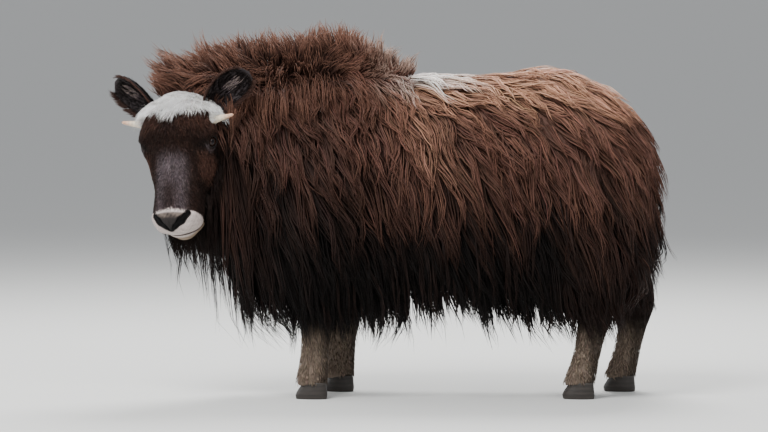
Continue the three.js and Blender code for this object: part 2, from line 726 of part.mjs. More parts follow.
function coatLocks() {
  const locks = [];
  for (const side of [LEFT, RIGHT]) {
    for (let i = 0; i < FLANK.columns; i++) {
      const x = mix(FLANK.from, FLANK.to, i / (FLANK.columns - 1));
      locks.push(...column(spineAt(x), side * 90, FLANK_TIERS, FLANK.width, i % 2 ? 1 : -1));
    }
    RUMP_COLUMNS.headings.forEach((heading, i) => {
      const { at, width } = RUMP_COLUMNS;
      locks.push(...column(at, side * heading, FLANK_TIERS.slice(1), width, i % 2 ? 1 : -1));
    });
    BRISKET.headings.forEach((heading, i) => {
      locks.push(...column(BRISKET.at, side * heading, BRISKET_TIERS, BRISKET.width, i % 2 ? 1 : -1));
    });
  }
  for (let i = 0; i < BACK_LOCKS.places; i++) {
    const x = mix(BACK_LOCKS.from, BACK_LOCKS.to, i / (BACK_LOCKS.places - 1));
    const { lie, length, width } = BACK_LOCKS;
    locks.push(trunkLock(spineAt(x), [0, spread(0.1), 1], lie, length, width, LOCK_LIFT * 2));
  }
  for (let i = 0; i < THROAT_LOCKS.places; i++) {
    const x = mix(THROAT_LOCKS.from, THROAT_LOCKS.to, i / (THROAT_LOCKS.places - 1));
    for (const row of THROAT_LOCKS.rows) {
      const { lie, length, width } = THROAT_LOCKS;
      locks.push(trunkLock(spineAt(x), [spread(0.2), 0.45 * row + spread(0.15), -1], lie, length, width, 0));
    }
  }
  return locks;
}

// Standing locks along the nape and withers, fanned fore and aft and to both sides
function crestLocks() {
  const locks = [];
  for (let i = 0; i < CREST.places; i++) {
    const t = i / (CREST.places - 1);
    const x = mix(CREST.from, CREST.to, t);
    for (const row of CREST_ROWS) {
      const base = spineAt(x);
      const forward = mix(...CREST.lean, t);
      const way = new THREE.Vector3(forward + spread(0.2), row * CREST.splay + spread(0.1), 1);
      const from = hit(core, -CREST.root, base, [0, row * 0.12, 1]);
      const fall = Math.abs(row) * CREST_FALL.sides + CREST_FALL.ragged * draw();
      const tip = lineAt(CREST_TIPS, from[0] + way.x * CREST_REACH) - fall;
      const a = new THREE.Vector3(...from);
      const reach = tip - a.z;
      const b = a.clone().addScaledVector(way, reach);
      const bend = new THREE.Vector3(way.x * CREST_ARCH.lean, row * CREST_ARCH.row, 0);
      const out = new THREE.Vector3(spread(0.8), row || 0.5, 0).normalize();
      const path = [0, 0.25, 0.5, 0.75, 1].map((s) => ({
        at: a.clone().lerp(b, s).addScaledVector(bend, Math.sin(Math.PI * s)),
        out,
      }));
      locks.push({ path, width: CREST.width * (0.85 + 0.3 * draw()) });
    }
  }
  return locks;
}

const tail = (grow) => solid(spike(TAIL.from, TAIL.to, TAIL.r, TAIL.bend, 8, 5, grow));

const group = new THREE.Group();

function add(name, made, look) {
  const mesh = largest(made).getMesh();
  const geometry = geometryOf(mesh.vertProperties, [...mesh.triVerts]);
  geometry.computeVertexNormals();
  const node = new THREE.Mesh(geometry, new THREE.MeshStandardMaterial(COLOURS[look]));
  node.name = name;
  group.add(node);
}

const trunkCore = solid(wrapped(SPINE_LINE, core, 0, 17, 3, 18));
const trunkLocks = [...coatLocks(), ...crestLocks()].map((shape) => solid(lock(shape, 0)));
const trunk = wasm.Manifold.union([trunkCore, ...trunkLocks]);
const headGrown = wasm.Manifold.union(headForms(GAP));
const earsGrown = HEAD_SIDES.flatMap(({ side }) => [horn(side, GAP), ear(side, GAP)]);
const legsGrown = LEGS.map((place) => leg(place, GAP));

add("neck", cut(between(trunk, headCut, NECK_CUT), [headGrown, ...earsGrown, ...legsGrown]), "coat");
add("torso", cut(between(trunk, NECK_CUT, RUMP_CUT), legsGrown), "coat");
add("rump", cut(between(trunk, RUMP_CUT, null), [...legsGrown, tail(GAP)]), "coat");
add("tail", tail(0), "coat");

const sockets = HEAD_SIDES.flatMap(({ side }) => [eyeball(side, GAP), horn(side, GAP), ear(side, GAP)]);
const openings = [mouthCut(), ...[LEFT, RIGHT].flatMap((side) => [nostril(side), eyeCut(side)])];
add("head", cut(wasm.Manifold.union(headForms(0)), [...sockets, ...openings]), "face");
for (const { word, side } of HEAD_SIDES) {
  add(`${word}_eye`, eyeball(side, 0), "eye");
  add(`${word}_horn`, horn(side, 0), "horn");
  add(`${word}_ear`, ear(side, 0), "face");
}

for (const place of LEGS) {
  add(place.name, leg(place, 0), "stocking");
  add(place.name.replace(/leg$/, "hoof"), hoof(place), "hoof");
}

// The origin is on the floor, under the middle of the whole animal
const box = new THREE.Box3().setFromObject(group);
const centre = box.getCenter(new THREE.Vector3());
group.position.set(-centre.x, -centre.y, -box.min.z);

export default group;
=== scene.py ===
"""A yearling muskox at life size, standing still: skin, coat, eyes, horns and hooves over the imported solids.

Metres, +Z up. The animal faces -X, and its left side is at -Y. Shapes are given in the animal's own frame and
moved by SHIFT into the row frame when their meshes are made.
"""

import math

import bpy
import numpy as np
from mathutils import Matrix, Vector
from mathutils.kdtree import KDTree


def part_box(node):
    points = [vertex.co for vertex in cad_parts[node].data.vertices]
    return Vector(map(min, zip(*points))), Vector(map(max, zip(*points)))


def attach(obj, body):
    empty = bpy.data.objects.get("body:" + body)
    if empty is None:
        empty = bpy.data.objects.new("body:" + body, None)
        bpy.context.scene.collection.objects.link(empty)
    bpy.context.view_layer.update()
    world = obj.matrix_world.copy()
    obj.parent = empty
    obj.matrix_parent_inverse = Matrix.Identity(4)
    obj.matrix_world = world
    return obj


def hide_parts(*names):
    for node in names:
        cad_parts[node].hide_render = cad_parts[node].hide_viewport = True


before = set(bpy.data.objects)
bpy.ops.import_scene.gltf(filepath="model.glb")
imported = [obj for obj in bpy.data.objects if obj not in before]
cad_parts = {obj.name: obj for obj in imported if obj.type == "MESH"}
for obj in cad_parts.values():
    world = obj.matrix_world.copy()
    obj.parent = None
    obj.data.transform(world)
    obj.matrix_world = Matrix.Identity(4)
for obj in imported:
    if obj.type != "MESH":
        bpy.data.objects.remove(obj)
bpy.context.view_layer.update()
random = np.random.default_rng(7)

# Signs of Y on the animal's sides. In the head's own frame they are the other way round
LEFT = -1
RIGHT = 1
UP = np.array([0.0, 0.0, 1.0])
DOWN = -UP

# Photo: its size in pixels, a pixel's size at the animal's middle, and the pixel over the animal's origin
PHOTO = (768, 432)
PIXEL = 0.0027
PHOTO_ORIGIN = (395, 395)
CAMERA_LENS = 200  # millimetres, on a sensor of the next width
CAMERA_SENSOR = 36
CAMERA_DOWN = math.radians(3)
TINY = 1e-9  # keeps a divisor above zero


# Shapes: each is a function from points to signed distances, near enough
def from_ellipse(q, half):
    """The distance from an ellipsoid or an ellipse, for points divided by its half sizes."""
    k0 = np.sqrt((q * q).sum(-1))
    k1 = np.sqrt(((q / half) ** 2).sum(-1)) + TINY
    return k0 * (k0 - 1) / k1


def blob(at, half):
    centre, half = np.array(at), np.array(half)
    return lambda p: from_ellipse((p - centre) / half, half)


def rod(start, end, radii):
    a, b = np.array(start), np.array(end)
    along = b - a

    def distance(p):
        t = np.clip((p - a) @ along / (along @ along), 0, 1)
        off = p - a - t[..., None] * along
        return np.sqrt((off * off).sum(-1)) - (radii[0] + t * (radii[1] - radii[0]))

    return distance


def merged(d, e, width):
    """The smooth union of two distances."""
    h = np.maximum(width - np.abs(d - e), 0) / width
    return np.minimum(d, e) - h * h * width / 4


def blended(shapes, width):
    def distance(p):
        d = shapes[0](p)
        for shape in shapes[1:]:
            d = merged(d, shape(p), width)
        return d

    return distance


def closest(shapes, p):
    return np.minimum.reduce([shape(p) for shape in shapes])


def smooth(t):
    c = np.clip(t, 0, 1)
    return c * c * (3 - 2 * c)


def mix(a, b, t):
    return a + (b - a) * t


def between(low, high, count):
    """Random numbers, evenly spread between two limits."""
    return mix(low, high, random.random(count))


def stacked(x, y, z):
    """Points from their coordinates, some of which may be single numbers."""
    return np.stack(np.broadcast_arrays(x, y, z), -1)


def unit(v):
    return v / (np.linalg.norm(v, axis=-1, keepdims=True) + 1e-12)


def outward(field, p, step=0.002):
    slope = np.empty_like(p)
    for i, move in enumerate(step * np.eye(3)):
        slope[..., i] = field(p + move) - field(p - move)
    return unit(slope)


# Trunk and neck
TRUNK_BLEND = 0.070
TRUNK = [
    blob((0.100, 0, 0.590), (0.400, 0.172, 0.240)),  # ribs
    blob((-0.150, 0, 0.640), (0.240, 0.150, 0.212)),  # withers
    blob((-0.270, 0, 0.540), (0.175, 0.132, 0.190)),  # chest
    blob((0.190, 0, 0.545), (0.310, 0.178, 0.205)),  # belly
    rod((-0.060, 0, 0.735), (0.430, 0, 0.765), (0.092, 0.088)),  # loin
    blob((0.400, 0, 0.650), (0.270, 0.155, 0.195)),  # pelvis
    blob((-0.200, -0.098, 0.520), (0.135, 0.082, 0.205)),  # shoulders
    blob((-0.150, 0.098, 0.520), (0.135, 0.082, 0.205)),
    blob((0.475, -0.090, 0.520), (0.165, 0.100, 0.215)),  # thighs
    blob((0.520, 0.090, 0.510), (0.150, 0.095, 0.205)),
    rod((-0.230, 0, 0.730), (-0.500, -0.072, 0.765), (0.105, 0.076)),  # nape
    rod((-0.250, 0, 0.590), (-0.480, -0.070, 0.690), (0.140, 0.090)),  # throat
]
TAIL = rod((0.650, 0, 0.668), (0.715, 0, 0.515), (0.018, 0.008))
CREST_CORE = [
    blob((-0.540, -0.072, 0.820), (0.070, 0.042, 0.060)),
    blob((-0.400, -0.035, 0.840), (0.140, 0.042, 0.068)),
    blob((-0.190, 0, 0.860), (0.180, 0.046, 0.062)),
]
SPINE = np.array([
    (-0.510, -0.076, 0.735), (-0.430, -0.045, 0.705), (-0.300, -0.008, 0.650), (-0.180, 0, 0.620),
    (0.060, 0, 0.600), (0.330, 0, 0.600), (0.500, 0, 0.600), (0.720, 0, 0.600),
])

# Long coat: its depth over the flesh at the tips, and how far the skin stands out of the flesh
COAT_BACK = 0.046
COAT_SIDE = 0.068
COAT_BACK_Z = 0.800
COAT_SIDE_Z = 0.600
SKIN_SHARE = 0.15
# Lower edge of the long coat: x, the height where it is dense, and the lowest height of its loose wisps
FRINGE = np.array([
    (-0.620, 0.430, 0.345), (-0.560, 0.375, 0.295), (-0.460, 0.325, 0.205), (-0.370, 0.270, 0.130),
    (-0.270, 0.205, 0.125), (-0.220, 0.185, 0.150), (-0.070, 0.215, 0.120), (-0.020, 0.285, 0.130),
    (0.060, 0.295, 0.145), (0.200, 0.305, 0.175), (0.350, 0.290, 0.190), (0.440, 0.215, 0.135),
    (0.560, 0.200, 0.150), (0.640, 0.210, 0.155), (0.690, 0.250, 0.205), (0.730, 0.340, 0.300),
])
CREST_TIPS = np.array([
    (-0.661, 0.864), (-0.607, 0.937), (-0.526, 0.969), (-0.337, 0.996), (-0.175, 1.034), (-0.040, 0.975),
    (0.030, 0.890),
])

# Legs: sections from the top down, each a centre and a half length and half width
LEG_Y = 0.108
HOOF_Y = LEG_Y + 0.004
FORE_SECTIONS = np.array([
    (0.040, -0.008, 0.470, 0.062, 0.045), (0.042, -0.004, 0.400, 0.058, 0.044),
    (0.034, 0, 0.330, 0.050, 0.042), (0.026, 0.002, 0.260, 0.043, 0.040), (0.016, 0.004, 0.200, 0.040, 0.037),
    (0.010, 0.004, 0.140, 0.036, 0.033), (0.006, 0.004, 0.095, 0.037, 0.034),
    (0.002, 0.004, 0.060, 0.040, 0.038), (0, 0.004, 0.044, 0.041, 0.039),
])
HIND_SECTIONS = np.array([
    (-0.030, -0.012, 0.480, 0.095, 0.055), (-0.026, -0.008, 0.400, 0.084, 0.052),
    (0.006, -0.004, 0.330, 0.062, 0.046), (0.038, 0, 0.270, 0.048, 0.040),
    (0.046, 0.002, 0.225, 0.043, 0.036), (0.034, 0.004, 0.170, 0.036, 0.033),
    (0.020, 0.004, 0.110, 0.035, 0.032), (0.008, 0.004, 0.064, 0.039, 0.037),
    (0.002, 0.004, 0.044, 0.041, 0.039),
])
LEGS = [
    ("left_fore", -0.224, LEFT, FORE_SECTIONS),
    ("right_fore", -0.154, RIGHT, FORE_SECTIONS),
    ("left_hind", 0.491, LEFT, HIND_SECTIONS),
    ("right_hind", 0.613, RIGHT, HIND_SECTIONS),
]
LEG_FUR = 0.003
LEG_END = 0.036  # height where the skin ends, inside the hoof
LEG_BLEND = 0.030


def leg_shape(x, side, sections):
    rows = sections[::-1]

    def distance(p):
        z = p[..., 2]
        along, across, long, wide = (np.interp(z, rows[:, 2], rows[:, i]) for i in (0, 1, 3, 4))
        half = np.stack([long, wide], -1) - LEG_FUR
        q = np.stack([p[..., 0] - x - along, p[..., 1] - side * (LEG_Y + across)], -1) / half
        return np.maximum(from_ellipse(q, half), np.maximum(LEG_END - z, z - sections[0, 2]))

    return distance


def coat_depth(p):
    return mix(COAT_SIDE, COAT_BACK, smooth((p[..., 2] - COAT_SIDE_Z) / (COAT_BACK_Z - COAT_SIDE_Z)))


flesh = blended(TRUNK, TRUNK_BLEND)
legs = [leg_shape(x, side, sections) for _, x, side, sections in LEGS]


def body_skin(p):
    trunk = np.minimum(np.minimum(flesh(p) - SKIN_SHARE * coat_depth(p), closest(CREST_CORE, p)), TAIL(p))
    return merged(trunk, closest(legs, p), LEG_BLEND)


# Head: in its own frame x runs to the nose, y to its left and z up out of the face
HEAD_PLACE = (
    Matrix.Translation((-0.551, -0.095, 0.805))
    @ Matrix.Rotation(math.radians(-4.7), 4, "Y")
    @ Matrix.Rotation(math.radians(180 + 68), 4, "Z")
    @ Matrix.Rotation(math.radians(66), 4, "Y")
)
HEAD_TURN = np.array(HEAD_PLACE.to_3x3())
HEAD_ORIGIN = np.array(HEAD_PLACE.translation)
GRAVITY = DOWN @ HEAD_TURN  # in the head's frame
HEAD_BLEND = 0.034
HEAD_FUR = 0.006  # of the solids over the bone
SKIN_IN = 0.004  # how far the haired skin lies inside them
EYE_AT = (0.1445, 0.090, 0.034)
EYE_R = 0.0190
EYE_OUT = unit(np.array([0.26, 0.78, 0.57]))
EYE_OPEN = (0.0132, 0.0114, 0.0160)  # half sizes of the lids' opening: along, across and through it
EYE_GAP = 0.0006  # between the eyeball and the skin round it
LID_RING = 0.0146
LID_THICK = 0.0036
LID_TALL = 0.90
LID_OUT = 0.0135
MOUTH_AT = np.array([0.316, 0, -0.066])
MOUTH_HALF = np.array([0.072, 0.058])
MOUTH_POWER = 2.6  # above 2 the front of the lips is flatter than an ellipse
MOUTH_DEEP = 0.014
MOUTH_THICK = 0.0044
MOUTH_SWEEP = math.radians(62)
MOUTH_TURN = np.array(Matrix.Rotation(math.radians(-36), 3, "Y"))
LIP_APART = 0.009
LIP_R = 0.008
LIP_IN = 0.005  # how far the lips' middle line lies inside the mouth's outline
LOWER_LIP_IN = 0.004  # how much further the lower one does
BENT_BLEND = 0.004
NOSTRIL = [(0.387, 0.002, 0.026), (0.376, 0.014, 0.034), (0.362, 0.030, 0.037), (0.343, 0.046, 0.035)]
NOSTRIL_R = (0.0030, 0.0062, 0.0105, 0.0078)
NOSTRIL_DEPTH = np.array([0.001, 0.002, 0.0045, 0.003])  # of its middle line under the skin
NOSE_WING = [(0.376, 0.036, 0.016), (0.346, 0.055, 0.020)]
NOSE_WING_R = (0.013, 0.010)
NOSE_WING_DEPTH = 0.010
HORN_FROM, HORN_TO = np.array([0.086, 0.076, 0.040]), np.array([0.0805, 0.164, 0.057])
HORN_R = (0.0160, 0.0035)
HORN_RISE = 0.007
EAR_ROOT, EAR_TIP = np.array([0.054, 0.076, 0.030]), np.array([-0.037, 0.197, 0.057])
EAR_WIDTH = 0.084
EAR_BOW = 0.008  # how far its middle line bows towards its upper edge
EAR_THICK = 0.0055
EAR_CUP = 0.024
EAR_FACE = np.array([0.75, 0.1, 0.6])


def mirrored(at, side):
    return np.array(at) * (1, side, 1)


HEAD = [blob((0.102, 0, 0.025), (0.088, 0.092, 0.078))]  # cranium
for side in (LEFT, RIGHT):
    HEAD.append(blob((0.126, side * 0.050, 0.048), (0.046, 0.036, 0.030)))  # brow
    HEAD.append(blob((0.144, side * 0.074, 0.030), (0.032, 0.026, 0.026)))  # orbit
    HEAD.append(blob((0.185, side * 0.048, 0.004), (0.055, 0.032, 0.040)))  # cheekbone
    HEAD.append(blob((0.125, side * 0.048, -0.038), (0.100, 0.040, 0.060)))  # cheek
    HEAD.append(rod((0.180, side * 0.034, -0.046), (0.300, side * 0.022, -0.040), (0.038, 0.026)))  # jaw
    HEAD.append(blob((0.343, side * 0.035, -0.008), (0.024, 0.025, 0.028)))  # side of the upper lip
HEAD += [
    blob((0.222, 0, 0.002), (0.120, 0.063, 0.066)),  # face
    rod((0.130, 0, 0.066), (0.340, 0, 0.010), (0.026, 0.024)),  # nasal bone
    blob((0.312, 0, -0.004), (0.054, 0.054, 0.044)),  # muzzle
    blob((0.345, 0, 0.016), (0.028, 0.036, 0.020)),  # nose
    blob((0.340, 0, -0.054), (0.036, 0.030, 0.020)),  # chin
]
head_form = blended(HEAD, HEAD_BLEND)


def to_head(p):
    return (p - HEAD_ORIGIN) @ HEAD_TURN


def from_head(p):
    return p @ HEAD_TURN.T + HEAD_ORIGIN


def bareness(q):
    """1 on the bare muzzle and 0 where the face is haired, in the head's frame."""
    return smooth((q[..., 0] - 0.318 + 0.35 * np.maximum(-q[..., 2] - 0.03, 0)) / 0.035)


def eye_axes(side):
    """The directions along the lids, across them and out of the eye."""
    out = mirrored(EYE_OUT, side)
    along = unit(np.array([1.0, 0, 0]) - out[0] * out)
    return along, np.cross(out, along), out


def lid_ring(side):
    centre = mirrored(EYE_AT, side)
    along, across, out = eye_axes(side)

    def distance(q):
        p = q - centre - out * LID_OUT
        flat = np.sqrt((p @ along) ** 2 + ((p @ across) / LID_TALL) ** 2)
        return np.sqrt((flat - LID_RING) ** 2 + (p @ out) ** 2) - LID_THICK

    return distance


def eye_cut(side):
    """The opening between the lids."""
    turn = np.stack(eye_axes(side), 1)
    centre = mirrored(EYE_AT, side) + turn[:, 2] * EYE_R
    cut = blob((0, 0, 0), EYE_OPEN)
    return lambda q: cut((q - centre) @ turn)


def in_mouth(q):
    """Points in the mouth's frame, and how far round its plane they are as a share of the mouth's sweep.

    In that frame x runs to the front, y to the left and z across the lips."""
    m = (q - MOUTH_AT) @ MOUTH_TURN
    return m, np.abs(np.arctan2(m[..., 1], m[..., 0])) / MOUTH_SWEEP


def from_mouth_line(m, shrink):
    """How far points in the mouth's frame are outside the line of the lips, drawn in by shrink."""
    flat = np.abs(m[..., :2] / (MOUTH_HALF - shrink)) ** MOUTH_POWER
    k = flat.sum(-1) ** (1 / MOUTH_POWER) + TINY
    return (1 - 1 / k) * np.sqrt((m[..., :2] ** 2).sum(-1))


def lip(level):
    """The upper lip at level 1, and the lower lip at level -1."""
    def distance(q):
        m, turn = in_mouth(q)
        e = from_mouth_line(m, LIP_IN + (LOWER_LIP_IN if level < 0 else 0))
        r = LIP_R * (1 - 0.4 * turn * turn) * (turn < 1.1)
        return np.sqrt(e * e + (m[..., 2] - level * LIP_APART) ** 2) - r

    return distance


def mouth_slot(q):
    m, turn = in_mouth(q)
    slot = np.maximum(np.abs(m[..., 2]) - MOUTH_THICK / 2, -from_mouth_line(m, MOUTH_DEEP))
    return np.where(turn < 1, slot, 1)


def bent(points, radii):
    """A rod through points, with a radius at each of them."""
    return blended([rod(a, b, r) for a, b, r in zip(points, points[1:], zip(radii, radii[1:]))], BENT_BLEND)


def on_face(q, depth):
    """Points moved along the form's slope to this depth under the skin of the muzzle."""
    for _ in range(4):
        q = q - (head_form(q) - HEAD_FUR + depth)[:, None] * outward(head_form, q)
    return q


def on_both_sides(points, depth, radii):
    return [bent(on_face(mirrored(points, side), depth), radii) for side in (LEFT, RIGHT)]


lids = [lid_ring(side) for side in (LEFT, RIGHT)]
eyeballs = [blob(mirrored(EYE_AT, side), (EYE_R,) * 3) for side in (LEFT, RIGHT)]
eye_cuts = [eye_cut(side) for side in (LEFT, RIGHT)]
nostrils = on_both_sides(NOSTRIL, NOSTRIL_DEPTH, NOSTRIL_R)
wings = on_both_sides(NOSE_WING, NOSE_WING_DEPTH, NOSE_WING_R)


def head_skin(q):
    d = head_form(q) - mix(HEAD_FUR - SKIN_IN, HEAD_FUR, bareness(q))
    for shapes, width in (([lip(1)], 0.008), ([lip(-1)], 0.006), (lids, 0.007), (wings, 0.012)):
        for shape in shapes:
            d = merged(d, shape(q), width)
    for hole in [mouth_slot] + nostrils + eye_cuts:
        d = np.maximum(d, -hole(q))
    for ball in eyeballs:
        d = np.maximum(d, -(ball(q) - EYE_GAP))
    return d


def netted(field, low, high, cell):
    """A closed mesh of four-sided faces where field is zero, from a grid of cells between two corners."""
    coarse = 4
    low = np.array(low)
    counts = np.ceil((np.array(high) - low) / (cell * coarse)).astype(int) * coarse + 1
    axes = [low[i] + cell * np.arange(0, counts[i], coarse) for i in range(3)]
    rough = field(np.stack(np.meshgrid(*axes, indexing="ij"), -1))
    values = rough[np.ix_(*[(np.arange(n) + coarse // 2) // coarse for n in counts])]
    near = np.argwhere(np.abs(values) < 2.5 * coarse * cell)
    values[tuple(near.T)] = field(low + cell * near)

    inside = values < 0
    step = np.eye(3, dtype=int)
    corners = np.argwhere(np.ones((2, 2, 2)))
    size = np.array(values.shape) - 1
    count = sum(inside[tuple(slice(a, a + n) for a, n in zip(c, size))].astype(np.int8) for c in corners)
    cells = np.argwhere((count > 0) & (count < 8))
    index = np.full(size, -1)
    index[tuple(cells.T)] = np.arange(len(cells))

    total = np.zeros((len(cells), 3))
    crossings = np.zeros(len(cells))
    for a in corners:
        for axis in np.flatnonzero(a == 0):
            va, vb = (values[tuple((cells + c).T)] for c in (a, a + step[axis]))
            cross = (va < 0) != (vb < 0)
            t = np.where(cross, va / np.where(cross, va - vb, 1), 0)
            total += np.where(cross[:, None], a + t[:, None] * step[axis], 0)
            crossings += cross
    points = low + cell * (cells + total / crossings[:, None])
    for _ in range(2):
        points -= np.clip(field(points), -cell, cell)[:, None] * 0.9 * outward(field, points, cell / 4)

    faces = []
    for axis in range(3):
        u, v = [i for i in range(3) if i != axis]
        edges = np.argwhere(np.diff(inside, axis=axis))
        eu, ev = edges[:, u], edges[:, v]
        edges = edges[(eu > 0) & (ev > 0) & (eu < size[u]) & (ev < size[v])]
        cells_round = [edges - step[u] - step[v], edges - step[v], edges, edges - step[u]]
        quads = np.stack([index[tuple(c.T)] for c in cells_round], 1)
        out = inside[tuple(edges.T)] != (axis == 1)
        faces.append(np.where(out[:, None], quads, quads[:, ::-1]))
    return points, np.concatenate(faces)


# The row frame's place of the animal's own frame, from the middle of one hoof
low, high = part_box("left_forehoof")
SHIFT = np.array([(low.x + high.x) / 2 - LEGS[0][1], (low.y + high.y) / 2 - LEGS[0][2] * HOOF_Y, 0.0])


def placed(name, data):
    obj = bpy.data.objects.new(name, data)
    bpy.context.scene.collection.objects.link(obj)
    return obj


def mesh_object(name, points, faces, colours, bake_uv=None, strand_uv=None):
    """A smooth mesh with a colour at each point. A UV map is given at each point or at each face corner."""
    mesh = bpy.data.meshes.new(name)
    mesh.vertices.add(len(points))
    mesh.vertices.foreach_set("co", (points + SHIFT).astype(np.float32).ravel())
    mesh.loops.add(faces.size)
    mesh.loops.foreach_set("vertex_index", faces.astype(np.int32).ravel())
    mesh.polygons.add(len(faces))
    mesh.polygons.foreach_set("loop_start", np.arange(0, faces.size, faces.shape[1], dtype=np.int32))
    mesh.polygons.foreach_set("use_smooth", np.ones(len(faces), bool))
    rgba = np.ones((len(points), 4), np.float32)
    rgba[:, :3] = colours
    mesh.color_attributes.new("Coat", "FLOAT_COLOR", "POINT").data.foreach_set("color", rgba.ravel())
    for map_name, uv in (("OFBake", bake_uv), ("Strand", strand_uv)):
        if uv is not None:
            corners = uv if len(uv) == faces.size else uv[faces.ravel()]
            mesh.uv_layers.new(name=map_name).data.foreach_set("uv", corners.astype(np.float32).ravel())
    mesh.update()
    mesh.validate()
    return placed(name, mesh)


def tube(rows):
    """A closed mesh through rows of points round a line, with four-sided faces and a pole at each end."""
    count, sides, _ = rows.shape
    points = np.concatenate([rows.reshape(-1, 3), rows[0].mean(0)[None], rows[-1].mean(0)[None]])
    faces = []
    for i in range(0, (count - 1) * sides, sides):
        for j in range(sides):
            k = (j + 1) % sides
            faces.append((i + j, i + k, i + sides + k, i + sides + j))
    last = (count - 1) * sides
    for j in range(0, sides, 2):
        faces.append((count * sides, (j + 2) % sides, j + 1, j))
        faces.append((count * sides + 1, last + j, last + j + 1, last + (j + 2) % sides))
    return points, np.array(faces)


def lathe(rows, colours):
    """A tube with a colour at each point of its rows, and at the poles the mean of the row next to them."""
    ends = np.stack([colours[0].mean(0), colours[-1].mean(0)])
    return *tube(rows), np.concatenate([colours.reshape(-1, 3), ends])


def joined(parts):
    """Points, faces and further arrays of several meshes as those of one mesh."""
    points, faces, *others = zip(*parts)
    starts = np.cumsum([0] + [len(p) for p in points])
    faces = [f + start for f, start in zip(faces, starts)]
    return [np.concatenate(arrays) for arrays in (points, faces, *others)]


# Unwrap of the skin's own shape: islands for the trunk, the four legs, the head and the two ears
TRUNK_ISLAND = (0.01, 0.01, 0.60, 0.66)
HEAD_ISLAND = (0.63, 0.35, 0.35, 0.32)
LEG_ISLANDS = [(0.01 + 0.25 * i, 0.70, 0.22, 0.29) for i in range(4)]
EAR_ISLANDS = {LEFT: (0.63, 0.01, 0.16, 0.32), RIGHT: (0.81, 0.01, 0.16, 0.32)}
PATCH = 0.003


def spine_at(x):
    return np.stack([np.interp(x, SPINE[:, 0], SPINE[:, i]) for i in range(3)], -1)


def island(box, u, v):
    """UVs in a box, given by its left, bottom, width and height."""
    u, v = (np.clip(share, -0.02, 1.02) for share in (u, v))
    return np.stack([box[0] + box[2] * u, box[1] + box[3] * v], -1)


def around(a, b):
    """The turn of a point about an axis, as a share of a full turn from the seam at b below 0."""
    return np.arctan2(a, b) / (2 * math.pi) + 0.5


def leg_of(p):
    """The number of the nearest leg, and whether the point is on it."""
    d = np.stack([leg(p) for leg in legs], -1)
    return d.argmin(-1), (d.min(-1) < 0.004) & (p[..., 2] < 0.44)


def unwrap_body(p):
    off = p - spine_at(p[..., 0])
    uv = island(TRUNK_ISLAND, around(off[..., 1], off[..., 2]), (p[..., 0] + 0.62) / 1.4)
    nearest, on_leg = leg_of(p)
    for i, (_, x, side, sections) in enumerate(LEGS):
        rows = sections[::-1]
        x_mid = x + np.interp(p[..., 2], rows[:, 2], rows[:, 0])
        y_mid = side * (LEG_Y + np.interp(p[..., 2], rows[:, 2], rows[:, 1]))
        leg_uv = island(LEG_ISLANDS[i], around(p[..., 1] - y_mid, p[..., 0] - x_mid), p[..., 2] / 0.5)
        uv = np.where((on_leg & (nearest == i))[..., None], leg_uv, uv)
    return uv


def unwrap_head(q):
    return island(HEAD_ISLAND, around(q[..., 1], q[..., 2]), q[..., 0] / 0.42)


def corner_uv(uv, faces):
    """UVs at the corners of faces, with faces that cross a seam or a border kept whole."""
    corners = uv[faces]
    first = corners[:, :1]
    far = np.abs(corners - first).max(-1) > 0.1
    return np.where(far[..., None], first, corners).reshape(-1, 2)


# Colours of the coat
def srgb(r, g, b):
    c = np.array([r, g, b]) / 255
    return np.where(c <= 0.04045, c / 12.92, ((c + 0.055) / 1.055) ** 2.4)


BLACK = srgb(10, 6, 5)
DARK = srgb(44, 29, 24)
BROWN = srgb(86, 58, 48)
RUST = srgb(136, 96, 78)
TAN = srgb(182, 138, 112)
FAWN = srgb(214, 192, 176)
CREAM = srgb(250, 246, 240)
SLATE = srgb(98, 87, 90)
STOCKING = srgb(128, 112, 98)
LIP = srgb(196, 182, 176)
CHIN = srgb(138, 120, 102)
NOSE = srgb(38, 33, 32)
# near black: painted shade inside the nostrils and along the groove of the pad between them
NOSTRIL_SHADE = srgb(7, 5, 5)


def wander(p, scale, seed=0):
    """Smooth noise from -1 to 1, from a few waves across the points."""
    total = 0
    for i in range(4):
        turn = np.array([math.cos(1.7 * i + seed), math.sin(2.3 * i + seed), math.cos(0.9 * i + 2 * seed)])
        total = total + np.sin(p @ turn * (2 * math.pi / scale) * (1 + 0.37 * i) + 1.3 * i + seed) / 4
    return total


def layer(base, colour, amount):
    return base + (colour - base) * np.clip(amount, 0, 1)[..., None]


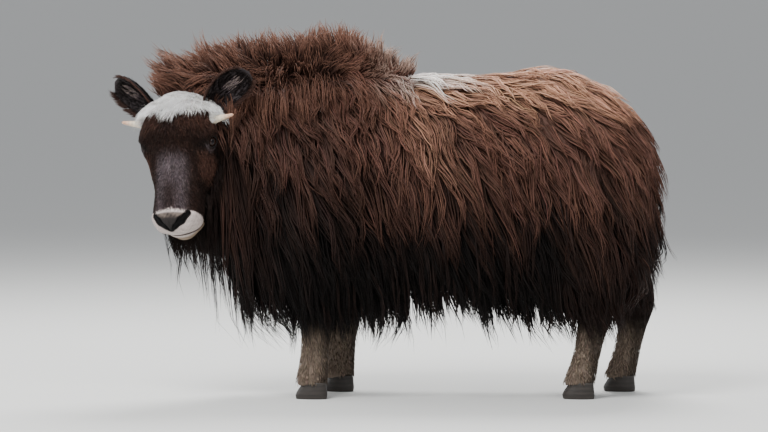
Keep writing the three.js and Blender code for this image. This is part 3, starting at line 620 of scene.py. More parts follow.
def body_colour(p):
    x, z = p[..., 0], p[..., 2]
    patch = wander(p, 0.31) * 0.5 + wander(p, 0.13, 3) * 0.4
    c = np.broadcast_to(BLACK, p.shape).copy()
    c = layer(c, DARK, smooth((z - 0.42 + 0.08 * patch) / 0.20))
    start = mix(0.54, 0.43, smooth((x + 0.20) / 0.25)) - 0.03 * smooth((x - 0.36) / 0.15)
    c = layer(c, BROWN, smooth((z - start + 0.12 * patch) / 0.28) * mix(0.70, 1, smooth((x + 0.45) / 0.5)))
    c = layer(c, DARK, 0.6 * smooth((x - 0.38) / 0.12) * smooth((z - 0.18) / 0.12) * smooth((0.50 - z) / 0.1))
    back = smooth((z - 0.70 + 0.08 * patch) / 0.16) * smooth((x + 0.12) / 0.20)
    c = layer(c, RUST, 0.8 * back)
    ridge = np.exp(-(((x - 0.06 - 0.45 * np.maximum(0.75 - z, 0)) / 0.06) ** 2)) * smooth((z - 0.55) / 0.15)
    c = layer(c, TAN, 0.22 * ridge)
    # lighter top of the back and rump: partly the coat's own paler colour, partly painted light falling on the
    # top from above
    top = smooth((z - 0.76) / 0.08) * smooth((x - 0.02) / 0.10)
    c = layer(c, TAN, 0.85 * top)
    saddle = np.exp(-(((x - 0.08) / 0.075) ** 2)) * smooth((z - 0.822) / 0.03)
    c = layer(c, mix(FAWN, CREAM, 0.7), 0.95 * saddle)
    number, on_leg = leg_of(p)
    middle = np.array([row[1] for row in LEGS])[number] + 0.012
    pale = mix(0.95, 0.35, smooth((x - middle + 0.012 * patch) / 0.030))
    stocking = on_leg * pale * smooth((0.25 - z + 0.04 * patch) / 0.10)
    return layer(c, STOCKING, stocking)


POLL_END = 0.060  # where the white of the poll stops rooting, on the middle line


def poll_amount(q):
    """1 on the white poll and round the horns, and 0 elsewhere."""
    x, y, z = q[..., 0], np.abs(q[..., 1]), q[..., 2]
    end = POLL_END + 0.014 * np.exp(-((y / 0.02) ** 2)) + 0.045 * smooth((y - 0.094) / 0.010)
    end = end + 0.006 * wander(q, 0.05, 5)
    return smooth((end - x) / 0.008) * smooth((z + 0.010) / 0.020)


def head_colour(q):
    x, y, z = q[..., 0], np.abs(q[..., 1]), q[..., 2]
    patch = wander(q, 0.05, 5)
    c = np.broadcast_to(DARK, q.shape).copy()
    c = layer(c, BLACK, smooth((x - 0.12) / 0.05) * smooth((y - 0.05) / 0.03) * 0.8)
    c = layer(c, BLACK, smooth((-z - 0.010) / 0.03))
    # painted sheen: slate grey over the nose's bridge stands in for the sky's reflection on its dark hair,
    # weaker along the middle line towards the nose
    bridge_sheen = smooth((z - 0.01 + 0.01 * patch) / 0.04) * smooth((0.056 - y) / 0.03) * smooth((x - 0.16) / 0.05)
    c = layer(c, SLATE, 0.8 * bridge_sheen * (1 - 0.75 * np.exp(-((y / 0.022) ** 2)) * smooth((x - 0.235) / 0.05)))
    crown = smooth((0.130 + 0.015 * patch - x) / 0.04)
    c = layer(c, BROWN, 0.45 * crown * smooth((z - 0.02) / 0.03) * smooth(y / 0.035))
    cheek = 0.7 * smooth((y - 0.058) / 0.02) * smooth((x - 0.160) / 0.03) * smooth((0.26 - x) / 0.04)
    c = layer(c, BROWN, cheek)
    rim = closest(lids, q)
    under = smooth((np.stack([x, y, z], -1) - EYE_AT) @ GRAVITY / 0.010)
    c = layer(c, SLATE, 0.45 * under * smooth((rim - 0.002) / 0.002) * smooth((0.009 - rim) / 0.004))
    c = layer(c, CREAM, poll_amount(q))
    upper = smooth((x - 0.332 + 0.8 * np.maximum(0.012 - y, 0) * (z > 0)) / 0.006)
    lower = smooth((x - 0.325) / 0.02) * smooth((-z - 0.035) / 0.015) * smooth((0.045 - y) / 0.015)
    muzzle = np.maximum(upper, lower)
    c = layer(c, mix(LIP, CHIN, smooth((-z - 0.030) / 0.012)[..., None]), muzzle)
    mottled = 0.5 + 0.5 * wander(q, 0.016, 9)
    c = layer(c, NOSE, 0.35 * muzzle * mottled * smooth((x - 0.33) / 0.02))
    pad = smooth((x - 0.343) / 0.004) * smooth((0.390 - 0.95 * y - x) / 0.004)
    pad = pad * smooth((0.046 - y) / 0.006) * (z > 0)
    c = layer(c, NOSE, pad)
    # painted shade: a dark line down the middle of the pad, where it folds between the nostrils
    c = layer(c, NOSTRIL_SHADE, 0.6 * pad * np.exp(-((y / 0.0022) ** 2)) * smooth((x - 0.360) / 0.01))
    c = layer(c, FAWN, 0.25 * pad * mottled * smooth((0.362 - x) / 0.01))
    # painted shade in the nostrils' openings
    c = layer(c, NOSTRIL_SHADE, smooth((0.0035 - closest(nostrils, q)) / 0.003))
    # painted shade: the hair is darkened along the mouth's slot, where shade falls in the crease
    c = layer(c, DARK, 0.9 * smooth((0.0060 - mouth_slot(q)) / 0.005) * (x > 0.25))
    return layer(c, BLACK, smooth((0.003 - rim) / 0.003))


# Meshes of the skin
BODY_CELL = 0.0086
HEAD_CELL = 0.0026
body_points, body_faces = netted(body_skin, (-0.66, -0.26, 0.02), (0.76, 0.26, 0.96), BODY_CELL)
head_points, head_faces = netted(head_skin, (-0.03, -0.12, -0.13), (0.43, 0.12, 0.13), HEAD_CELL)


def ear_place(t, s, up, side):
    """A point of an ear, t of the way to its tip, s across it from -1 to 1, and up towards its open side."""
    along = EAR_TIP - EAR_ROOT
    across = unit(np.cross(EAR_FACE, along))
    front = np.cross(unit(along), across)
    half = (EAR_WIDTH / 2) * (0.42 + 0.58 * np.sin(math.pi * (0.06 + 0.72 * t))) * np.sqrt(1 - t**8) + 0.002
    curl = EAR_CUP * np.sin(math.pi * (0.25 + 0.75 * t)) * (s**2 - 0.5)
    aside = half * s + EAR_BOW * np.sin(math.pi * t)
    q = EAR_ROOT + t[..., None] * along + aside[..., None] * across + (curl + up)[..., None] * front
    return from_head(q * (1, side, 1))


def ear_mesh(side):
    rows, across = 28, 14
    t = np.linspace(0, 1, rows)[:, None]
    s = np.linspace(-1, 1, across + 1)[None]
    edge = EAR_THICK / 2 * np.sqrt(np.clip(1 - s**4, 0.05, 1)) * (1 - 0.6 * t)
    front = ear_place(t + 0 * s, s + 0 * t, edge, side)
    back = ear_place(t + 0 * s, s + 0 * t, -edge, side)[:, ::-1]
    points, faces = tube(np.concatenate([front, back], 1))
    n = 2 * (across + 1)
    u = np.concatenate([np.tile(np.linspace(0, 1, n), rows), [0.5, 0.5]])
    v = np.concatenate([np.repeat(t[:, 0], n), [0, 1]])
    inner = np.concatenate([np.tile(np.arange(n) <= across, rows), [0, 0]])
    colours = layer(np.broadcast_to(BLACK, (len(points), 3)), SLATE, 0.2 * inner)
    return points, faces[:, ::side], colours, island(EAR_ISLANDS[side], u, v)


skin_parts = [
    (body_points, body_faces, body_colour(body_points) * 0.7, unwrap_body(body_points)),
    (from_head(head_points), head_faces, head_colour(head_points), unwrap_head(head_points)),
    ear_mesh(LEFT),
    ear_mesh(RIGHT),
]
skin = mesh_object("skin", *joined([(p, f, c, corner_uv(uv, f)) for p, f, c, uv in skin_parts]))


# Tufts of hair
STATIONS_LONG = 7
STATIONS_MID = 5
STATIONS_SHORT = 3
GROW_STEPS = 12


def tuft_mesh(name, paths, outs, width, thick, colours, roots_uv):
    """Closed three-sided tufts, one along each path, flat across outs and drawn to a point."""
    count, stations, _ = paths.shape
    tangent = unit(np.gradient(paths, axis=1))
    side = unit(np.cross(tangent, outs[:, None]))
    top = np.cross(side, tangent)
    t = np.linspace(0, 1, stations)
    swell = 0.55 + 0.45 * np.sin(math.pi * np.minimum(t * 1.6, 1) / 2)
    profile = (swell * (1 - t**1.6) ** 0.8)[:-1]
    half = side[:, :-1] * (width[:, None] * profile / 2)[..., None]
    high = top[:, :-1] * (thick[:, None] * profile)[..., None]
    base = paths[:, :-1]
    rings = np.stack([base + half - high / 3, base + high * 0.67, base - half - high / 3], 2)
    per = 3 * (stations - 1) + 1
    points = np.concatenate([rings.reshape(count, -1, 3), paths[:, -1:]], 1).reshape(-1, 3)
    ring_colours = np.repeat(colours[:, :-1], 3, axis=1)
    point_colours = np.concatenate([ring_colours, colours[:, -1:]], 1).reshape(-1, 3)
    faces = [(0, 1, 2)]
    for i in range(stations - 2):
        for j in range(3):
            a, b = 3 * i + j, 3 * i + (j + 1) % 3
            faces += [(a, a + 3, b), (b, a + 3, b + 3)]
    last = 3 * (stations - 2)
    faces += [(last + j, per - 1, last + (j + 1) % 3) for j in range(3)]
    faces = (np.array(faces)[None] + per * np.arange(count)[:, None, None]).reshape(-1, 3)
    across = np.concatenate([np.tile([0, 0.5, 1], stations - 1), [0.5]])
    along = np.concatenate([np.repeat(t[:-1], 3), [1]])
    patch = np.stack([across - 0.5, along - 0.5], -1) * PATCH
    bake = (roots_uv[:, None] + patch[None]).reshape(-1, 2)
    length = np.linalg.norm(np.diff(paths, axis=1), axis=-1).sum(1)
    strand = np.stack([
        (across[None] * width[:, None] + random.random(count)[:, None] * 7).ravel(),
        (along[None] * length[:, None]).ravel(),
    ], -1)
    return mesh_object(name, points, faces, point_colours, bake, strand)


def scattered(points, faces, density, wanted):
    """Random places on a mesh, with the chance of each face its area times density."""
    a, b, c, d = (points[faces[:, i]] for i in range(4))
    area = np.linalg.norm(np.cross(c - a, d - b), axis=1) / 2
    chance = area * density((a + c) / 2)
    chosen = random.choice(len(faces), wanted, p=chance / chance.sum())
    u, v = random.random((2, wanted, 1))
    return mix(mix(a[chosen], b[chosen], u), mix(d[chosen], c[chosen], u), v)


def one_a_cell(points, cell):
    """The numbers of the points that are left when each cell of a grid keeps one."""
    keys = np.floor(points / cell).astype(int) @ np.array([1, 4096, 4096 * 4096])
    return np.sort(np.unique(keys, return_index=True)[1])


def thinned(points, cell):
    return points[one_a_cell(points, cell)]


def shares(stations):
    """The share of its length at which each station of a tuft lies."""
    return np.linspace(0, 1, stations)[None, :, None]


def onto(field, p):
    return p - field(p)[:, None] * outward(field, p)


def grown(field, roots, lie, length, height, wave, hangs, curls=1.0):
    """Guide hairs from roots along their lie, each kept at a height over field that grows towards the tip.

    With hangs, a hair leaves the field where that faces down. Returns the hairs and their roots' ways out."""
    along = unit(lie)
    phase = wander(roots, 0.22, 1) * math.pi + random.normal(0, 0.7, len(roots))
    turns = curls * between(0.7, 1.5, len(roots))
    at = roots.copy()
    path = [roots]
    for i in range(1, GROW_STEPS + 1):
        t = i / GROW_STEPS
        out = outward(field, at)
        side = unit(np.cross(along, out))
        press = np.minimum((along * out).sum(-1), 0 if hangs else 1)
        at = at + unit(along - out * press[:, None]) * (length / GROW_STEPS)[:, None]
        sway = wave * 2 * math.pi * turns / GROW_STEPS * np.cos(2 * math.pi * turns * t + phase) * t
        at += side * sway[:, None]
        off = height(at) * min(1, 0.15 + t) - field(at)
        hold = np.where((off > 0) | (not hangs), 1, smooth((out[:, 2] + 0.30) / 0.4))
        at += outward(field, at) * (off * hold)[:, None]
        path.append(at.copy())
    return np.stack(path, 1), outward(field, roots)


def resampled(paths, reach, stations):
    """Each path up to a share of its length, as evenly spaced stations."""
    steps = paths.shape[1] - 1
    t = reach[:, None] * np.linspace(0, 1, stations)[None] * steps
    low = np.clip(t.astype(int), 0, steps - 1)
    rows = np.arange(len(paths))[:, None]
    return mix(paths[rows, low], paths[rows, low + 1], (t - low)[..., None])


def children(guides, outs, each, spacing, clump, stations, short=0.65):
    """Tufts round each guide, which draw together towards its tip. Returns paths, outs and their guides."""
    owner = np.repeat(np.arange(len(guides)), each)
    count = len(owner)
    out = outs[owner]
    first = unit(guides[owner, 1] - guides[owner, 0])
    side = unit(np.cross(first, out))
    angle = random.random(count) * 2 * math.pi
    far = np.sqrt(random.random(count)) * spacing
    offset = side * (far * np.cos(angle))[:, None] + np.cross(side, out) * (far * np.sin(angle))[:, None]
    reach = between(short, 1.0, count)
    paths = resampled(guides[owner], reach, stations)
    t = shares(stations) * reach[:, None, None]
    hold = 1 - clump * smooth(t)
    layering = random.normal(0, 0.10, count)[:, None, None] * far[:, None, None]
    wobble = random.normal(0, 0.0022, (count, stations, 3)) * t
    return paths + offset[:, None] * hold + out[:, None] * layering + wobble, out, owner


def locked(guides, cell, draw):
    """Guides drawn towards the nearest of a sparser set of them, so that the coat parts into locks."""
    roots = guides[:, 0]
    main = one_a_cell(roots, cell)
    tree = KDTree(len(main))
    for i, number in enumerate(main):
        tree.insert(roots[number], i)
    tree.balance()
    nearest = main[[tree.find(root)[1] for root in roots]]
    t = shares(guides.shape[1])
    return guides + (guides[nearest] - guides) * draw * smooth(t)


def lowered(paths, lowest):
    """The share of each path that lies above its lowest height."""
    above = paths[..., 2] > lowest[:, None]
    steps = paths.shape[1] - 1
    first_below = np.where(above.all(1), steps, above.argmin(1))
    return np.clip(first_below / steps, 0.12, 1)


def shaded(base, stations, root, tip, tip_colour=None, tip_amount=0.0):
    """Colours along tufts: base times root at the root, base times tip at the tip, or nearer tip_colour."""
    t = shares(stations)
    tint = random.normal(1, 0.14, (len(base), 1, 1)) * (1 + random.normal(0, 0.03, (len(base), 1, 3)))
    c = base[:, None] * mix(root, tip, smooth(t * 1.3)) * np.clip(tint, 0.6, 1.5)
    if tip_colour is not None:
        c = c + (tip_colour - c) * (tip_amount * smooth((t - 0.45) / 0.5))
    return np.clip(c, 0.001, 0.95)


coat = []


def add_tufts(name, paths, outs, widths, flatness, base, shades, roots_uv):
    """A piece of the coat, with tufts of random width in one base colour or in one for each."""
    count, stations, _ = paths.shape
    width = between(*widths, count)
    colours = shaded(np.broadcast_to(base, (count, 3)), stations, *shades)
    coat.append(tuft_mesh(name, paths, outs, width, width * flatness, colours, roots_uv))


def head_clear(p, gap):
    """1 where the trunk's coat may root, clear of the head."""
    return (head_form(to_head(p)) > gap).astype(float)


# The long coat of the trunk
TRUNK_PLACES = 30000
TRUNK_GUIDE_CELL = 0.030
TRUNK_TUFTS = 8
TRUNK_WIDTH = (0.0038, 0.0070)
SHARPEST = 0.2  # cosine of the sharpest turn of a guide hair that is kept
LOCK_CELL = 0.075
# Each piece of the trunk's coat on a side: its name, and its front and back end in X
TRUNK_PIECES = (("neck", -1, -0.28), ("shoulder", -0.28, 0.02), ("flank", 0.02, 0.34), ("rump", 0.34, 1))


def trunk_density(p):
    _, on_leg = leg_of(p)
    bare = on_leg & (p[:, 2] < np.where(p[:, 0] > 0.3, 0.265, 0.33))
    return head_clear(p, 0.010) * ~bare * np.where((p[:, 2] < 0.34) & ~on_leg, 0.3, 1)


def trunk_lie(p, out):
    top = smooth((out[:, 2] - 0.25) / 0.6) * smooth((p[:, 0] + 0.10) / 0.25)
    neck = smooth((-0.30 - p[:, 0]) / 0.15)
    way = np.sign(p[:, 1] - spine_at(p[:, 0])[:, 1])
    x = mix(0.30 - 0.14 * neck, 1.35, top) + 0.20 * wander(p, 0.24, 2) + random.normal(0, 0.09, len(p))
    y = way * mix(0, 0.50, top) + 0.10 * wander(p, 0.2, 4)
    return stacked(x, y, -1.0)


def over_body(p):
    return np.minimum(flesh(p), closest(legs, p))


roots = thinned(scattered(body_points, body_faces, trunk_density, TRUNK_PLACES), TRUNK_GUIDE_CELL)
roots = onto(body_skin, roots + random.normal(0, 0.004, roots.shape))
roots_out = outward(body_skin, roots)
loft = random.random(len(roots)) ** 0.7
x, z = roots[:, 0], roots[:, 2]
trunk_length = mix(0.17, 0.30, smooth((0.80 - z) / 0.3)) * between(0.8, 1.15, len(roots))
throat = np.maximum(
    smooth((-0.26 - x) / 0.1) * smooth((0.62 - z) / 0.1),
    smooth((-0.40 - x) / 0.06) * smooth((0.80 - z) / 0.1),
)
skirt = smooth((0.52 - z) / 0.15)
trunk_length = mix(mix(trunk_length, 0.50, throat), 0.42, skirt * (1 - throat))
guides, guide_outs = grown(
    over_body, roots, trunk_lie(roots, roots_out), trunk_length,
    lambda p: coat_depth(p) * mix(0.30, 1.0, loft), between(0.012, 0.026, len(roots)), True,
)
parts = unit(np.diff(guides, axis=1))
flowing = (parts[:, 1:] * parts[:, :-1]).sum(-1).min(1) > SHARPEST
guides, guide_outs, roots = guides[flowing], guide_outs[flowing], roots[flowing]
guides = locked(guides, LOCK_CELL, 0.42)
dense, loose = (np.interp(guides[:, -1, 0], FRINGE[:, 0], FRINGE[:, i]) for i in (1, 2))
wisp = random.random(len(guides)) < 0.30
lowest = mix(dense + 0.015, loose, np.where(wisp, 0.75, 0.15) + 0.25 * random.random(len(guides)))
guides = resampled(guides, lowered(guides, lowest), GROW_STEPS + 1)
paths, outs, owner = children(guides, guide_outs, TRUNK_TUFTS, 0.021, 0.72, STATIONS_LONG)


def trunk_piece(name, chosen):
    p = paths[chosen]
    base = body_colour(p[:, 0] * 0.35 + p[:, 3] * 0.65)
    base = base * np.clip(random.normal(1.0, 0.12, len(p)), 0.7, 1.4)[:, None]
    add_tufts(name, p, outs[chosen], TRUNK_WIDTH, 0.35, base, (0.6, 1.2), unwrap_body(roots[owner[chosen]]))


for side, word in ((LEFT, "left"), (RIGHT, "right")):
    for part, front, back in TRUNK_PIECES:
        root = paths[:, 0]
        chosen = (root[:, 0] > front) & (root[:, 0] <= back) & ((root[:, 1] > 0) == (side > 0))
        trunk_piece(f"coat_{part}_{word}", chosen)


# Wavy wisps that hang out of the long coat's lower edge
WISPS = 230
WISP_TUFTS = 7
WISP_STATIONS = 8
WISP_START = GROW_STEPS // 2  # the station of its guide where a wisp leaves the coat


def wisp_guides(chosen):
    """Guide hairs that leave the coat's own half way and hang to the fringe's lowest height."""
    start = guides[chosen, WISP_START]
    drop = np.maximum(start[:, 2] - loose[chosen] - 0.05 * random.random(len(chosen)), 0.03)
    t = np.linspace(0, 1, 9)[None]
    turn = 2 * math.pi * t * between(1.3, 2.3, len(chosen))[:, None]
    phase = random.random((2, len(chosen), 1)) * 2 * math.pi
    sway = [0.010 * t * (np.sin(turn + shift) - np.sin(shift)) for shift in phase]
    hang = np.stack([0.08 * drop[:, None] * t + sway[0], 0.6 * sway[1], -drop[:, None] * t], -1)
    return np.concatenate([guides[chosen, :WISP_START], start[:, None] + hang], 1)


leaving = guides[:, WISP_START, 2]
edge = np.flatnonzero((guides[:, 0, 2] < 0.62) & (leaving > loose + 0.08) & (leaving < dense + 0.16))
chosen = random.choice(edge, WISPS, replace=False)
wisp_paths, wisp_outs, owner = children(
    wisp_guides(chosen), guide_outs[chosen], WISP_TUFTS, 0.006, 0.80, WISP_STATIONS, 0.7)
add_tufts("coat_wisps", wisp_paths, wisp_outs, (0.0034, 0.0056), 0.5, mix(BLACK, DARK, 0.3), (0.8, 1.2),
          unwrap_body(roots[chosen][owner]))


# The crest, which stands along the nape and withers and falls to both sides
CREST_PLACES = 20000
CREST_HIGHEST = 1.022
CREST_CELL = 0.017
CREST_TUFTS = 9


def crest_density(p):
    aside = np.abs(p[:, 1] - spine_at(p[:, 0])[:, 1])
    clear = head_clear(p, 0.004 + 0.9 * np.maximum(aside - 0.03, 0))
    return (p[:, 0] < 0.03) * (p[:, 2] > 0.76) * clear * (aside < 0.09)


def crest_guides(roots):
    count = len(roots)
    along = np.clip((roots[:, 0] + 0.56) / 0.56, 0, 1)
    sideways = (roots[:, 1] - spine_at(roots[:, 0])[:, 1]) / 0.06
    falls = smooth((np.abs(sideways) - 0.45) / 0.9)
    way = np.stack([
        mix(-0.75, 0.45, along) + random.normal(0, 0.20, count),
        mix(0.20, 0.34, falls) * sideways + random.normal(0, 0.10, count),
        mix(1.0, 0.70, falls),
    ], -1)
    tip_z = np.interp(roots[:, 0] + 0.12 * way[:, 0], CREST_TIPS[:, 0], CREST_TIPS[:, 1]) + 0.004
    ragged = 1 + 0.16 * wander(roots, 0.055, 7) + 0.10 * wander(roots, 0.15, 8)
    reach = np.maximum(tip_z - roots[:, 2], 0.07) * mix(0.62, 1.12, random.random(count) ** 0.8) * ragged
    reach = np.minimum(reach * mix(1, 0.85, falls), mix(0.24, 0.14, falls))
    reach = np.minimum(reach, CREST_HIGHEST - roots[:, 2])
    t = shares(GROW_STEPS + 1)
    line = roots[:, None] + way[:, None] * reach[:, None, None] * t
    droop = np.stack([0.3 * way[:, 0] + 0.35 * falls, mix(0.2, 0.3, falls) * sideways, -1.5 * falls], -1)
    line = line + droop[:, None] * reach[:, None, None] * t**2
    phase = wander(roots, 0.10, 3)[:, None, None] * 3 + random.normal(0, 0.6, (count, 1, 1))
    wave = np.sin(2 * math.pi * t * 0.9 + phase) * t * 0.010
    return line + wave * unit(stacked(way[:, 2], 0, -way[:, 0]))[:, None]


roots = thinned(scattered(body_points, body_faces, crest_density, CREST_PLACES), CREST_CELL)
guides = locked(crest_guides(roots), 0.045, 0.5)
guide_outs = unit(stacked(0.2, np.where(roots[:, 1] > spine_at(roots[:, 0])[:, 1], 1.0, -1.0), 0))
paths, outs, owner = children(guides, guide_outs, CREST_TUFTS, 0.015, 0.45, STATIONS_MID, 0.5)
for word, chosen in (("front", paths[:, 0, 0] < -0.30), ("back", paths[:, 0, 0] >= -0.30)):
    p = paths[chosen]
    along = p[:, 0, 0]
    warm = 0.20 + 0.60 * smooth((along + 0.22) / 0.12) + 0.35 * smooth((-0.36 - along) / 0.10)
    warm += 0.45 * wander(p[:, 0], 0.12, 2) + random.normal(0, 0.15, len(p))
    base = layer(np.broadcast_to(DARK, (len(p), 3)), BROWN, warm)
    # the crest's tips turn rust, and fawn towards the rear: partly the hair's own paler tips, partly painted
    # backlight catching them
    pale_and_lit_tips = mix(RUST, FAWN, 0.6 * smooth((along + 0.13) / 0.10)[:, None, None])
    add_tufts(f"coat_crest_{word}", p, outs[chosen], (0.0026, 0.0044), 0.35, base, (0.6, 1.4, pale_and_lit_tips, 0.65),
              unwrap_body(roots[owner[chosen]]))


# Short fur of the legs
LEG_TUFTS = 9000
LOWEST_HAIR = 0.026


def leg_density(p):
    _, on_leg = leg_of(p)
    return on_leg * (p[:, 2] > LEG_END + 0.010).astype(float)


roots = onto(body_skin, scattered(body_points, body_faces, leg_density, LEG_TUFTS))
leg_lie = np.array([0.12, 0, -1]) + random.normal(0, 0.12, roots.shape)
leg_length = mix(0.018, 0.085, smooth((roots[:, 2] - 0.13) / 0.2)) * between(0.7, 1.2, LEG_TUFTS)
guides, outs = grown(
    body_skin, roots, leg_lie, leg_length,
    lambda p: mix(0.0055, 0.018, smooth((p[:, 2] - 0.17) / 0.15)), 0.002, False,
)
guides = resampled(guides, lowered(guides, np.full(LEG_TUFTS, LOWEST_HAIR)), STATIONS_SHORT)
add_tufts("coat_legs", guides, outs, (0.0024, 0.0042), 0.4, body_colour(roots), (0.7, 1.15),
          unwrap_body(roots))


# Fur of the head: short on the face, fluffy on the poll and round the horns, and a beard under the jaw
HEAD_TUFTS = 24500
HORN_SLEEVE = 420
BEARD_PLACES = 12000
BEARD_CELL = 0.013
BEARD_TUFTS = 6


def head_density(q):
    bare = (closest(eyeballs, q) < 0.006) | (closest(nostrils, q) < 0.003) | (mouth_slot(q) < 0.003)
    return ~bare * mix(1.0, 1.4, smooth((q[:, 0] - 0.2) / 0.1)) * mix(1.0, 2.2, poll_amount(q))


roots = scattered(head_points, head_faces, head_density, HEAD_TUFTS)
x, y, z = roots.T
poll = poll_amount(roots)
sides = smooth((np.abs(y) - 0.03) / 0.05)
jaw = smooth((-z - 0.020) / 0.04) * smooth((0.30 - x) / 0.05)
velvet = bareness(roots)
brow = smooth((0.150 - x) / 0.03) * smooth((z - 0.02) / 0.03) * (1 - poll)
head_length = 0.013 + poll * mix(0.034, 0.048, sides) + 0.024 * jaw + 0.012 * brow
head_length = mix(head_length + 0.008 * smooth((0.22 - x) / 0.08), 0.0045, velvet)
near_eye = smooth((closest(eyeballs, roots) - 0.006) / 0.030)
head_length *= between(0.75, 1.2, HEAD_TUFTS) * mix(0.35, 1, near_eye)
face_lie = stacked(0.9, 0.35 * np.sign(y) * smooth(np.abs(y) / 0.03), -0.25)
poll_lie = stacked(mix(0.9, 0.20, sides), 1.1 * np.sign(y) * sides, 0.35)
lie = mix(face_lie, poll_lie, poll[:, None])
lie = mix(lie, GRAVITY + np.array([0, 0, -0.25]), jaw[:, None])
hang = poll * smooth((np.abs(y) - 0.084) / 0.008) * smooth((0.055 - z) / 0.02)
lie = mix(lie, GRAVITY, 0.8 * hang[:, None])
lie = unit(lie) + random.normal(0, 0.14, lie.shape) * (1 + 1.3 * poll[:, None])
head_rise = 0.0035 + poll * mix(0.014, 0.034, sides) + 0.006 * jaw + 0.005 * brow
head_rise = mix(head_rise, HEAD_FUR - 0.001, velvet)
guides, outs = grown(
    head_form, roots, lie, head_length, lambda p: HEAD_FUR - SKIN_IN + head_rise, 0.002 + 0.005 * poll, False)
guides = np.where((poll > 0.5)[:, None, None], locked(guides, 0.014, 0.45), guides)
width = between(0.0016, 0.0030, HEAD_TUFTS) * (1 + 0.4 * jaw) * mix(1, 0.4, velvet) * mix(1, 0.6, poll)
uneven = random.normal(1.0, mix(0.34, 0.14, poll)[:, None], (HEAD_TUFTS, 1))
tone = head_colour(roots) * np.clip(uneven, 0.4, 2.0)
tone = layer(tone, SLATE, 0.30 * poll * smooth((wander(roots, 0.045, 4) - 0.05) / 0.4))
for word, chosen, stations, at_root in (
    ("poll", poll > 0.5, STATIONS_MID, 0.95),
    ("brow", (poll <= 0.5) & (x < 0.19), STATIONS_SHORT, 0.75),
    ("muzzle", (poll <= 0.5) & (x >= 0.19), STATIONS_SHORT, 0.75),
):
    p = guides[chosen]
    p = from_head(resampled(p, np.ones(len(p)), stations))
    coat.append(tuft_mesh(f"coat_{word}", p, outs[chosen] @ HEAD_TURN.T, width[chosen], width[chosen] * 0.4,
                          shaded(tone[chosen], stations, at_root, 1.2), unwrap_head(roots[chosen])))


def horn_sleeve(side):
    """White hairs that lie along the base of a horn, out of the poll."""
    way = unit(HORN_TO - HORN_FROM)
    across = unit(np.cross(way, UP))
    top = np.cross(across, way)
    turn = random.random(HORN_SLEEVE) * 2 * math.pi
    out = np.cos(turn)[:, None] * across + np.sin(turn)[:, None] * top
    root = HORN_FROM + way * between(0.004, 0.020, HORN_SLEEVE)[:, None] + out * HORN_R[0] * 0.95
    upper = smooth((-out[:, 0] + out[:, 2] + 0.6) / 1.2)
    reach = mix(0.012, 0.034, upper) * between(0.7, 1.2, HORN_SLEEVE)
    go = unit(way + 0.22 * out + random.normal(0, 0.10, out.shape) + 0.10 * GRAVITY)
    steps = shares(STATIONS_SHORT)
    path = root[:, None] + (go[:, None] * steps - 0.25 * out[:, None] * steps**2) * reach[:, None, None]
    return from_head(mirrored(path, side)), mirrored(out, side) @ HEAD_TURN.T, mirrored(root, side)


paths, outs, roots = (np.concatenate(a) for a in zip(horn_sleeve(LEFT), horn_sleeve(RIGHT)))
add_tufts("coat_horn_bases", paths, outs, (0.0010, 0.0018), 0.4, CREAM, (0.75, 1.05), unwrap_head(roots))


def beard_density(q):
    under = smooth((-q[:, 2] - 0.020) / 0.02) * (q[:, 0] > 0.06) * (q[:, 0] < 0.318)
    cheek = (np.abs(q[:, 1]) > 0.050) * (q[:, 2] < -0.025) * (q[:, 0] > 0.06) * (q[:, 0] < 0.20)
    return np.maximum(under, 0.8 * cheek)


beard_q = thinned(scattered(head_points, head_faces, beard_density, BEARD_PLACES), BEARD_CELL)
roots = from_head(beard_q)
chin = smooth((beard_q[:, 0] - 0.22) / 0.09)
under = smooth((-beard_q[:, 2] - 0.03) / 0.03)
beard_length = mix(0.08, 0.27, under) * mix(1, 0.5, chin) * between(0.65, 1.15, len(beard_q))
beard_lie = np.array([0.10, 0.0, -1.0]) + random.normal(0, 0.05, roots.shape)
guides, guide_outs = grown(
    lambda p: head_form(to_head(p)) - HEAD_FUR, roots, beard_lie, beard_length,
    lambda p: 0.014, between(0.006, 0.013, len(beard_q)), True, 1.7,
)
paths, outs, owner = children(guides, guide_outs, BEARD_TUFTS, 0.010, 0.88, STATIONS_LONG, 0.5)
add_tufts("coat_beard", paths, outs, (0.0022, 0.0040), 0.4, mix(BLACK, DARK, 0.35), (0.7, 1.3),
          unwrap_head(beard_q[owner]))


# Fur of the ears: a coat on their backs, long hairs inside and a fringe round the rim
def ear_tufts(side, count, t_range, s_range, up, length, lift, spread, base, tip):
    t = between(*t_range, count)
    s = between(*s_range, count) * np.where(random.random(count) < 0.5, -1, 1)
    face = np.full(count, up * EAR_THICK / 2)
    root = ear_place(t, s, face, side)
    towards = unit(ear_place(np.minimum(t + 0.1, 1.1), s, face, side) - root)
    across = unit(ear_place(t, s + 0.1, face, side) - root) * np.sign(s)[:, None]
    out = unit(ear_place(t, s, face + 0.001 * up, side) - root)
    way = towards + across * (spread * np.abs(s))[:, None] + out * lift
    way = unit(way + random.normal(0, 0.12, root.shape))
    reach = length * between(0.6, 1.2, count)
    steps = shares(STATIONS_SHORT)
    path = root[:, None] + way[:, None] * reach[:, None, None] * steps
    path = path + towards[:, None] * (reach[:, None, None] * 0.25 * steps**2)
    colours = shaded(np.broadcast_to(base, (count, 3)), STATIONS_SHORT, 0.8, 1.1, tip, 0.6)
    u = 0.25 + 0.25 * s if up > 0 else 0.75 - 0.25 * s
    return path, out, colours, island(EAR_ISLANDS[side], u, t)


